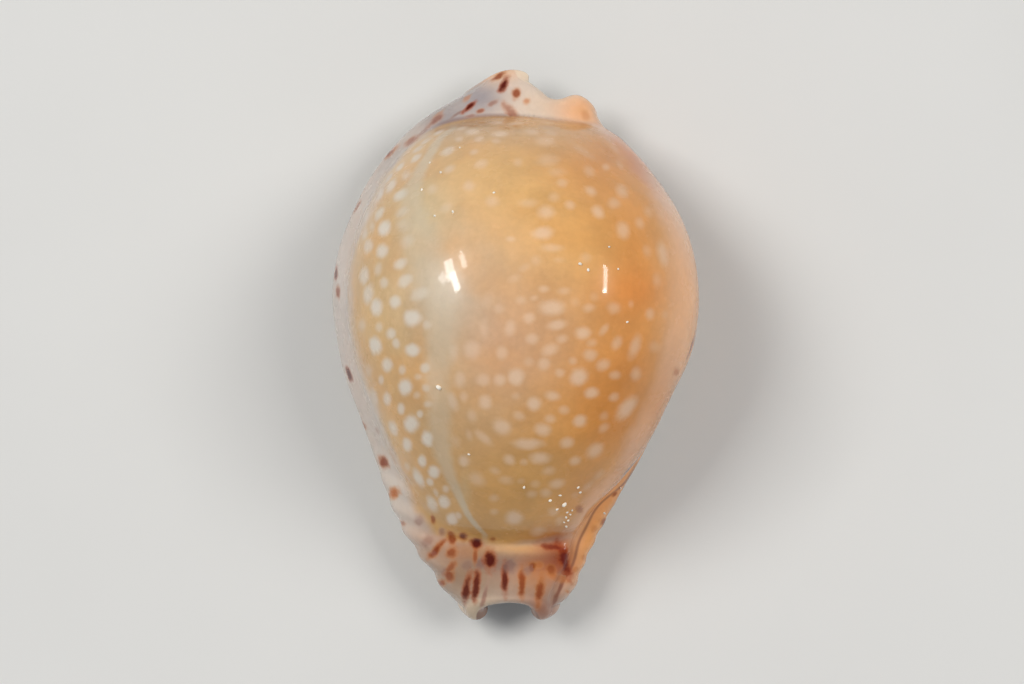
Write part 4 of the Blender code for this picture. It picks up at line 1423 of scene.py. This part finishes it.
@dataclass(frozen=True)
class PorcelainFinish:
    """Layered glossy enamel of the shell. Noises are in waves to a metre."""

    roughness: float = 0.24
    coat: float = 0.55
    coat_roughness: float = 0.045
    coat_index: float = 1.4
    index: float = 1.55
    gloss_of_base: float = 0.12
    glow: float = 0.05
    glow_depth: float = 0.0008
    glow_reach: tuple[float, float, float] = (1.0, 0.5, 0.3)
    spot_edge_noise: float = 1500.0
    mark_edge_noise: float = 1700.0
    mottle_noise: float = 330.0
    patch_noise: float = 210.0
    cloud_noise: float = 260.0
    field_edge_noise: float = 320.0
    grain_noise: float = 2600.0
    streak_noise: float = 900.0
    gloss_noise: float = 700.0
    pale_from: float = -0.006
    pale_to: float = -0.002
    colours: Colouring = Colouring()

    def edge_noise(self, g: Graph, scale: float, size: float) -> Socket:
        """Small change of the flecks' edges.

        Args:
            g: Material in the making.
            scale: Waves to a metre.
            size: How large the change is, in half-widths of a fleck.

        Returns:
            A number round 0.
        """
        return g.product(g.math("SUBTRACT", g.noise(scale, 2.0), 0.5), size)

    def fleck(self, g: Graph, name: str, wobble: Socket) -> tuple[Socket, Socket]:
        """Distance from a fleck's centre, 1 at its edge, and its strength.

        Args:
            g: Material in the making.
            name: Attribute with the fleck's own coordinates.
            wobble: Small change of every edge.

        Returns:
            The distance and the strength.
        """
        along, beside, strength = g.parts(g.attribute(name, "Vector"))
        square = g.math("ADD", g.product(along, along), g.product(beside, beside))
        return g.math("ADD", g.math("SQRT", square), wobble), strength

    def spot_layer(self, g: Graph, name: str, wobble: Socket) -> Socket:
        """How much of a sunken spot shows.

        Args:
            g: Material in the making.
            name: Attribute with the fleck's own coordinates.
            wobble: Small change of every edge.

        Returns:
            A share from 0 to 1.
        """
        distance, strength = self.fleck(g, name, wobble)
        inner = g.math("MULTIPLY_ADD", strength, 0.4)
        inner.node.inputs[2].default_value = 0.02
        return g.product(g.ramp(distance, inner, 1.5, 1.0, 0.0), strength)

    def ground(self, g: Graph, grain: Socket) -> Socket:
        """Tan ground with its mottling, its sunken spots and the pale line where the mantle's lobes met.

        Args:
            g: Material in the making.
            grain: Fine shading of every colour.

        Returns:
            The colour.
        """
        look = self.colours
        wobble = self.edge_noise(g, self.spot_edge_noise, 0.5)
        mottle = g.ramp(g.noise(self.mottle_noise, 4.0), 0.3, 0.7, 0.93, 1.06)
        streak = g.ramp(g.noise(self.streak_noise, 2.0, (1.0, 0.12, 1.0)), 0.3, 0.7, 0.975, 1.02)
        patch = g.ramp(g.noise(self.patch_noise, 2.0), 0.45, 0.72, 0.0, 0.32)
        colour = g.mix(patch, g.attribute("ground", "Color"), g.paint(look.patch))
        colour = g.mix(1.0, colour, g.product(mottle, grain, streak), "MULTIPLY")
        layers = [self.spot_layer(g, f"spot_{layer}", wobble) for layer in LAYERS]
        to_right = g.ramp(g.parts(g.place)[0], self.pale_from, self.pale_to, 0.0, 1.0)
        cream = g.mix(to_right, g.paint(look.spot), g.paint(look.right_spot))
        colour = g.mix(g.product(g.math("MAXIMUM", *layers), 0.9), colour, cream)
        away = g.math("ADD", g.math("ABSOLUTE", g.attribute("line_away")), g.product(wobble, 1.2))
        line = g.product(g.ramp(away, 0.35, 1.5, 1.0, 0.0), g.attribute("line_strength"))
        return g.mix(line, colour, g.paint(look.line))

    def furrow(self, g: Graph, under: Socket, name: str, paint: Colour, band: Band) -> Socket:
        """Paint shade into a furrow.

        Args:
            g: Material in the making.
            under: Colour round it.
            name: What its attributes' names begin with.
            paint: Colour of the painted shade, for the groove partly its violet tinge.
            band: Distances from its middle where it is full and where it ends, and its greatest strength.

        Returns:
            The colour.
        """
        full, end, strength = band
        away = g.math("ABSOLUTE", g.attribute(f"{name}_away"))
        share = g.product(g.ramp(away, full, end, strength, 0.0), g.attribute(f"{name}_strength"))
        return g.mix(share, under, g.paint(paint))

    def marked(self, g: Graph, under: Socket) -> Socket:
        """Lay the marks over the enamel, each a dark core in a paler ring.

        Args:
            g: Material in the making.
            under: Colour under the marks.

        Returns:
            The colour.
        """
        ragged = self.edge_noise(g, self.mark_edge_noise, 1.3)
        colour = under
        for layer in reversed(LAYERS):
            distance, strength = self.fleck(g, f"mark_{layer}", ragged)
            ring = g.product(g.ramp(distance, 0.7, 1.6, 0.75, 0.0), strength)
            core = g.product(g.ramp(distance, 0.35, 1.15, 1.0, 0.0), strength)
            colour = g.mix(ring, colour, g.attribute(f"halo_{layer}", "Color"))
            colour = g.mix(core, colour, g.attribute(f"core_{layer}", "Color"))
        return colour

    def material(self) -> bpy.types.Material:
        """Wire the material.

        Returns:
            The finished material.
        """
        look = self.colours
        g = Graph("cowrie_porcelain")
        grain = g.ramp(g.noise(self.grain_noise, 2.0), 0.3, 0.7, 0.975, 1.02)
        cloud = g.ramp(g.noise(self.cloud_noise, 3.0), 0.3, 0.7, 0.95, 1.04)
        enamel = g.mix(1.0, g.attribute("enamel", "Color"), g.product(cloud, grain), "MULTIPLY")
        fray = g.ramp(g.noise(self.field_edge_noise, 2.0), 0.3, 0.7, -0.4, 0.4)
        in_field = g.ramp(g.math("ADD", g.attribute("field"), fray), -1.0, 1.0, 0.0, 1.0)
        colour = g.mix(in_field, enamel, self.ground(g, grain))
        # painted shade along the hind crease
        colour = self.furrow(g, colour, "crease", look.crease, (0.02, 0.26, 0.5))
        # the right groove: partly its violet tinge, partly painted shade
        colour = self.furrow(g, colour, "groove", look.groove, (0.01, 0.18, 0.7))
        g.links.new(self.marked(g, colour), g.shader.inputs["Base Color"])
        low, high = self.roughness - 0.04, self.roughness + 0.06
        rough = g.ramp(g.noise(self.gloss_noise, 3.0), 0.3, 0.7, low, high)
        g.links.new(rough, g.shader.inputs["Roughness"])
        g.settle(IOR=self.index, Specular_IOR_Level=self.gloss_of_base, Subsurface_Weight=self.glow)
        g.settle(Coat_Weight=self.coat, Coat_Roughness=self.coat_roughness, Coat_IOR=self.coat_index)
        g.settle(Subsurface_Radius=self.glow_reach, Subsurface_Scale=self.glow_depth)
        g.bump(g.noise(self.gloss_noise, 2.0), 0.1, 0.00003)
        return g.material


@dataclass(frozen=True)
class GrainFinish:
    """Pale sand grains, part glassy."""

    colour: Colour = (250, 244, 230)

    def material(self) -> bpy.types.Material:
        """Wire the material.

        Returns:
            The finished material.
        """
        g = Graph("sand_grain")
        tone = g.ramp(g.noise(900, 2.0), 0.35, 0.65, 0.85, 1.0)
        g.links.new(g.mix(1.0, g.paint(self.colour), tone, "MULTIPLY"), g.shader.inputs["Base Color"])
        g.links.new(g.ramp(g.noise(4000, 2.0), 0.3, 0.7, 0.12, 0.45), g.shader.inputs["Roughness"])
        g.bump(g.noise(9000, 3.0), 0.4, 0.00003)
        return g.material


@dataclass(frozen=True)
class FloorFinish:
    """Pale matt floor with a faint tooth."""

    colour: Colour = (214, 214, 212)

    def material(self) -> bpy.types.Material:
        """Wire the material.

        Returns:
            The finished material.
        """
        g = Graph("pale_floor")
        tone = g.ramp(g.noise(40, 4.0), 0.3, 0.7, 0.985, 1.01)
        g.links.new(g.mix(1.0, g.paint(self.colour), tone, "MULTIPLY"), g.shader.inputs["Base Color"])
        g.settle(Roughness=0.8)
        g.bump(g.noise(900, 3.0), 0.1, 0.0001)
        return g.material


# Pieces


def add_object(name: str, mesh: bpy.types.Mesh) -> bpy.types.Object:
    """Link a mesh into the scene as an object at the origin.

    Args:
        name: Name of the object.
        mesh: Its mesh.

    Returns:
        The object.
    """
    piece = bpy.data.objects.new(name, mesh)
    bpy.context.scene.collection.objects.link(piece)
    return piece


@dataclass
class Cowrie:
    """The shell, one piece. Its skin, in millimetres, is kept for what is placed on it."""

    form: Form = Form()
    pattern: Pattern = Pattern()
    finish: PorcelainFinish = PorcelainFinish()
    skin: BVHTree | None = field(default=None, repr=False)

    def tube(self, rows: int, columns: int) -> tuple[bmesh.types.BMesh, Tube]:
        """Plain tube to be shaped into the sheet.

        Args:
            rows: Rings of vertices.
            columns: Vertices in a ring.

        Returns:
            The tube, and its vertices by row and column.
        """
        bm = bmesh.new()
        bmesh.ops.create_cone(bm, segments=columns, radius1=1.0, radius2=1.0, depth=float(rows - 1))
        upright = [e for e in bm.edges if abs(e.verts[0].co.z - e.verts[1].co.z) > 0.5]
        bmesh.ops.subdivide_edges(bm, edges=upright, cuts=rows - 2)
        table = {}
        for v in bm.verts:
            row = round(v.co.z + (rows - 1) / 2)
            column = round(math.atan2(v.co.y, v.co.x) / (2 * math.pi) * columns) % columns
            table[row, column] = v
        return bm, table

    def close_end(self, bm: bmesh.types.BMesh, table: Tube, row: int, columns: int) -> None:
        """Close an end by joining the two facing halves of its ring.

        Args:
            bm: The tube.
            table: Its vertices by row and column.
            row: Ring to close.
            columns: Vertices in a ring.
        """
        half = columns // 2
        chains = []
        for first in (0, half):
            for k in range(first, first + half - 1):
                chains.append(bm.edges.get((table[row, k], table[row, k + 1])))
        bmesh.ops.bridge_loops(bm, edges=chains)

    def model(self) -> tuple[bpy.types.Mesh, Grid, Grid]:
        """Shape the tube into the shell.

        Returns:
            The mesh, its points in millimetres, and how far each point lies inside the hollow.
        """
        points, inside = self.form.rings()
        rows, columns = points.shape[:2]
        bm, table = self.tube(rows, columns)
        for (row, column), v in table.items():
            v.co = points[row, column] * MM
        bm.verts.index_update()
        order = np.empty((len(bm.verts), 2), int)
        for place, v in table.items():
            order[v.index] = place
        self.close_end(bm, table, 0, columns)
        self.close_end(bm, table, rows - 1, columns)
        bmesh.ops.recalc_face_normals(bm, faces=bm.faces[:])
        mesh = bpy.data.meshes.new("porcelain_shell")
        bm.to_mesh(mesh)
        bm.free()
        mesh.shade_smooth()
        return mesh, points[order[:, 0], order[:, 1]], inside[order[:, 0], order[:, 1]]

    def build(self) -> bpy.types.Object:
        """Model the shell, lay its pattern and give it its finish.

        Returns:
            The shell's object.
        """
        mesh, points, inside = self.model()
        self.skin = BVHTree.FromPolygons(points.tolist(), [tuple(p.vertices) for p in mesh.polygons])
        self.pattern.lay(mesh, points, inside, self.skin)
        mesh.materials.append(self.finish.material())
        shell = add_object("porcelain_shell", mesh)
        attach(shell, "root")
        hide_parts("shell")
        LOG.info("shell: %d points, %d faces", len(mesh.vertices), len(mesh.polygons))
        return shell


@dataclass
class SandGrains:
    """Sand grains and specks of dust that stick to the back; lengths are shares of a grain's radius."""

    sight: Sight = Sight()
    finish: GrainFinish = GrainFinish()
    seed: int = 3
    swell: float = 1.3
    height: float = 0.7
    lift: float = 0.3
    knobs: float = 0.12

    def build(self, skin: BVHTree) -> bpy.types.Object:
        """Model the grains, sunk a little into the enamel.

        Args:
            skin: The shell's mesh, in millimetres.

        Returns:
            The grains' object.
        """
        chance = random.Random(self.seed)
        bm = bmesh.new()
        for x, y, across in GRAINS:
            hit, normal, _, _ = skin.ray_cast(self.sight.eye(), self.sight.towards(x, y))
            radius = across * self.swell * self.sight.size_at(hit.z) / 2
            turn = Matrix.Rotation(chance.uniform(0, 6.28), 4, normal)
            size = Matrix.Diagonal((radius, radius * chance.uniform(0.6, 0.9), radius * self.height, 1))
            middle = Matrix.Translation((hit + normal * radius * self.lift) * MM)
            place = middle @ turn @ Matrix.Scale(MM, 4) @ size
            grain = bmesh.ops.create_icosphere(bm, subdivisions=2, radius=1.0, matrix=place)
            for v in grain["verts"]:
                v.co += normal * radius * MM * chance.uniform(-self.knobs, self.knobs)
        mesh = bpy.data.meshes.new("sand_grains")
        bmesh.ops.recalc_face_normals(bm, faces=bm.faces[:])
        bm.to_mesh(mesh)
        bm.free()
        mesh.materials.append(self.finish.material())
        grains = add_object("sand_grains", mesh)
        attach(grains, "root")
        LOG.info("sand grains: %d", len(GRAINS))
        return grains


@dataclass(frozen=True)
class Streak:
    """A reflection on the back: its two ends in pixels, its width in pixels and its lamp's power."""

    top: tuple[float, float]
    bottom: tuple[float, float]
    width: float
    power: float


@dataclass(frozen=True)
class SoftBox:
    """A large square lamp that shades the form and isn't mirrored in the gloss, in metres and watts."""

    name: str
    place: tuple[float, float, float]
    power: float
    side: float = 0.34
    tint: tuple[float, float, float] = (1.0, 0.975, 0.94)


@dataclass
class Studio:
    """Floor, lamps and camera.

    Each strip hangs at a distance in millimetres, where the gloss mirrors it to its streak. It is a little
    wider than its streak asks for, and at least so many metres wide.
    """

    sight: Sight = Sight()
    floor: FloorFinish = FloorFinish()
    floor_half: float = 1.5
    sky: Colour = (232, 236, 242)
    sky_strength: float = 0.36
    aim: tuple[float, float, float] = (0.0, 0.0, 0.008)
    boxes: tuple[SoftBox, ...] = (
        SoftBox("soft_box", (-0.42, 0.24, 0.70), 3.9),
        SoftBox("fill_box", (0.42, 0.16, 0.62), 2.5),
    )
    distance: float = 500.0
    strip_spread: float = 1.5
    strip_least: float = 0.004
    streaks: tuple[Streak, ...] = (
        Streak((448, 260), (454, 279), 6.5, 0.55),
        Streak((452, 272), (459, 291), 5.5, 0.5),
        Streak((442, 275), (444, 282), 4, 0.12),
        Streak((458, 252.5), (463, 253), 3, 0.06),
        Streak((462, 253), (466.5, 267), 3.5, 0.2),
        Streak((440, 258), (450, 304), 30, 0.16),
        Streak((604.4, 265), (605.0, 293), 3.2, 0.3),
        Streak((603.5, 288), (605.0, 293), 4.5, 0.06),
        Streak((400, 494), (411, 519), 3, 0.12),
        Streak((428, 550), (437, 561), 4, 0.12),
    )

    def build(self, skin: BVHTree) -> None:
        """Set up the studio round the shell.

        Args:
            skin: The shell's mesh, in millimetres.
        """
        self.lay_floor()
        self.light_sky()
        for box in self.boxes:
            self.hang_box(box)
        for number, streak in enumerate(self.streaks, 1):
            self.hang_strip(f"strip_{number}", streak, skin)
        self.place_camera()
        bpy.context.scene.view_settings.view_transform = "Standard"

    def lay_floor(self) -> None:
        """Pale floor that the shell rests on."""
        bm = bmesh.new()
        bmesh.ops.create_grid(bm, x_segments=8, y_segments=8, size=self.floor_half)
        mesh = bpy.data.meshes.new("floor")
        bm.to_mesh(mesh)
        bm.free()
        mesh.materials.append(self.floor.material())
        add_object("floor", mesh)

    def light_sky(self) -> None:
        """Even soft light from all round."""
        world = bpy.data.worlds.new("soft_light")
        world.use_nodes = True
        background = world.node_tree.nodes["Background"]
        background.inputs["Color"].default_value = (*linear(self.sky), 1)
        background.inputs["Strength"].default_value = self.sky_strength
        bpy.context.scene.world = world

    def lamp(self, name: str, place: Vector, aim: Vector, wide: float, tall: float) -> bpy.types.Object:
        """Rectangular lamp.

        Args:
            name: Name of the lamp.
            place: Where it hangs, in metres.
            aim: What it faces.
            wide: Its width.
            tall: Its height.

        Returns:
            The lamp's object.
        """
        light = bpy.data.lights.new(name, "AREA")
        light.shape = "RECTANGLE"
        light.size, light.size_y = wide, tall
        thing = bpy.data.objects.new(name, light)
        thing.location = place
        thing.rotation_euler = (aim - place).to_track_quat("-Z", "Y").to_euler()
        bpy.context.scene.collection.objects.link(thing)
        return thing

    def hang_box(self, box: SoftBox) -> None:
        """Hang a soft lamp that faces the shell.

        Args:
            box: The lamp's place and strength.
        """
        thing = self.lamp(box.name, Vector(box.place), Vector(self.aim), box.side, box.side)
        thing.data.energy = box.power
        thing.data.color = box.tint
        thing.visible_glossy = False

    def mirrored(self, pixel: tuple[float, float], skin: BVHTree) -> tuple[Vector, Vector]:
        """Where the lens sees the surroundings through the gloss at a pixel.

        Args:
            pixel: Column and row.
            skin: The shell's mesh, in millimetres.

        Returns:
            The point on the shell and the direction of the mirrored sight.
        """
        look = self.sight.towards(*pixel)
        hit, normal, _, _ = skin.ray_cast(self.sight.eye(), look)
        normal = normal if normal.z > 0 else -normal
        return hit, look.reflect(normal)

    def hang_strip(self, name: str, streak: Streak, skin: BVHTree) -> None:
        """Lamp whose mirror image on the back runs from one pixel to another.

        Args:
            name: Name of the lamp.
            streak: The reflection that it gives.
            skin: The shell's mesh, in millimetres.
        """
        near, up = self.mirrored(streak.top, skin)
        far, down = self.mirrored(streak.bottom, skin)
        ends = [(near + up * self.distance) * MM, (far + down * self.distance) * MM]
        middle = (ends[0] + ends[1]) / 2
        tall = (ends[0] - ends[1]).length
        picture = math.dist(streak.top, streak.bottom)
        wide = max(tall * streak.width / picture * self.strip_spread, self.strip_least)
        thing = self.lamp(name, middle, (near + far) / 2 * MM, wide, tall)
        facing = ((near + far) / 2 * MM - middle).normalized()
        upright = (ends[0] - ends[1]).normalized()
        across = upright.cross(-facing).normalized()
        thing.rotation_euler = Matrix((across, (-facing).cross(across), -facing)).transposed().to_euler()
        thing.data.energy = streak.power
        thing.visible_diffuse = False
        LOG.info("%s: %.0f x %.0f mm at %s", name, wide / MM, tall / MM, tuple(round(c, 3) for c in middle))

    def place_camera(self) -> None:
        """Camera straight above, as in the picture."""
        data = bpy.data.cameras.new("camera")
        data.sensor_width = self.sight.sensor
        data.lens = self.sight.lens()
        data.clip_start = 0.01
        camera = bpy.data.objects.new("camera", data)
        camera.location = self.sight.eye() * MM
        bpy.context.scene.collection.objects.link(camera)
        bpy.context.scene.camera = camera


def main() -> None:
    """Build each piece and the studio."""
    logging.basicConfig(level=logging.INFO, format="%(name)s: %(message)s")
    shell = Cowrie()
    shell.build()
    SandGrains().build(shell.skin)
    Studio().build(shell.skin)


if __name__ == "__main__":
    main()
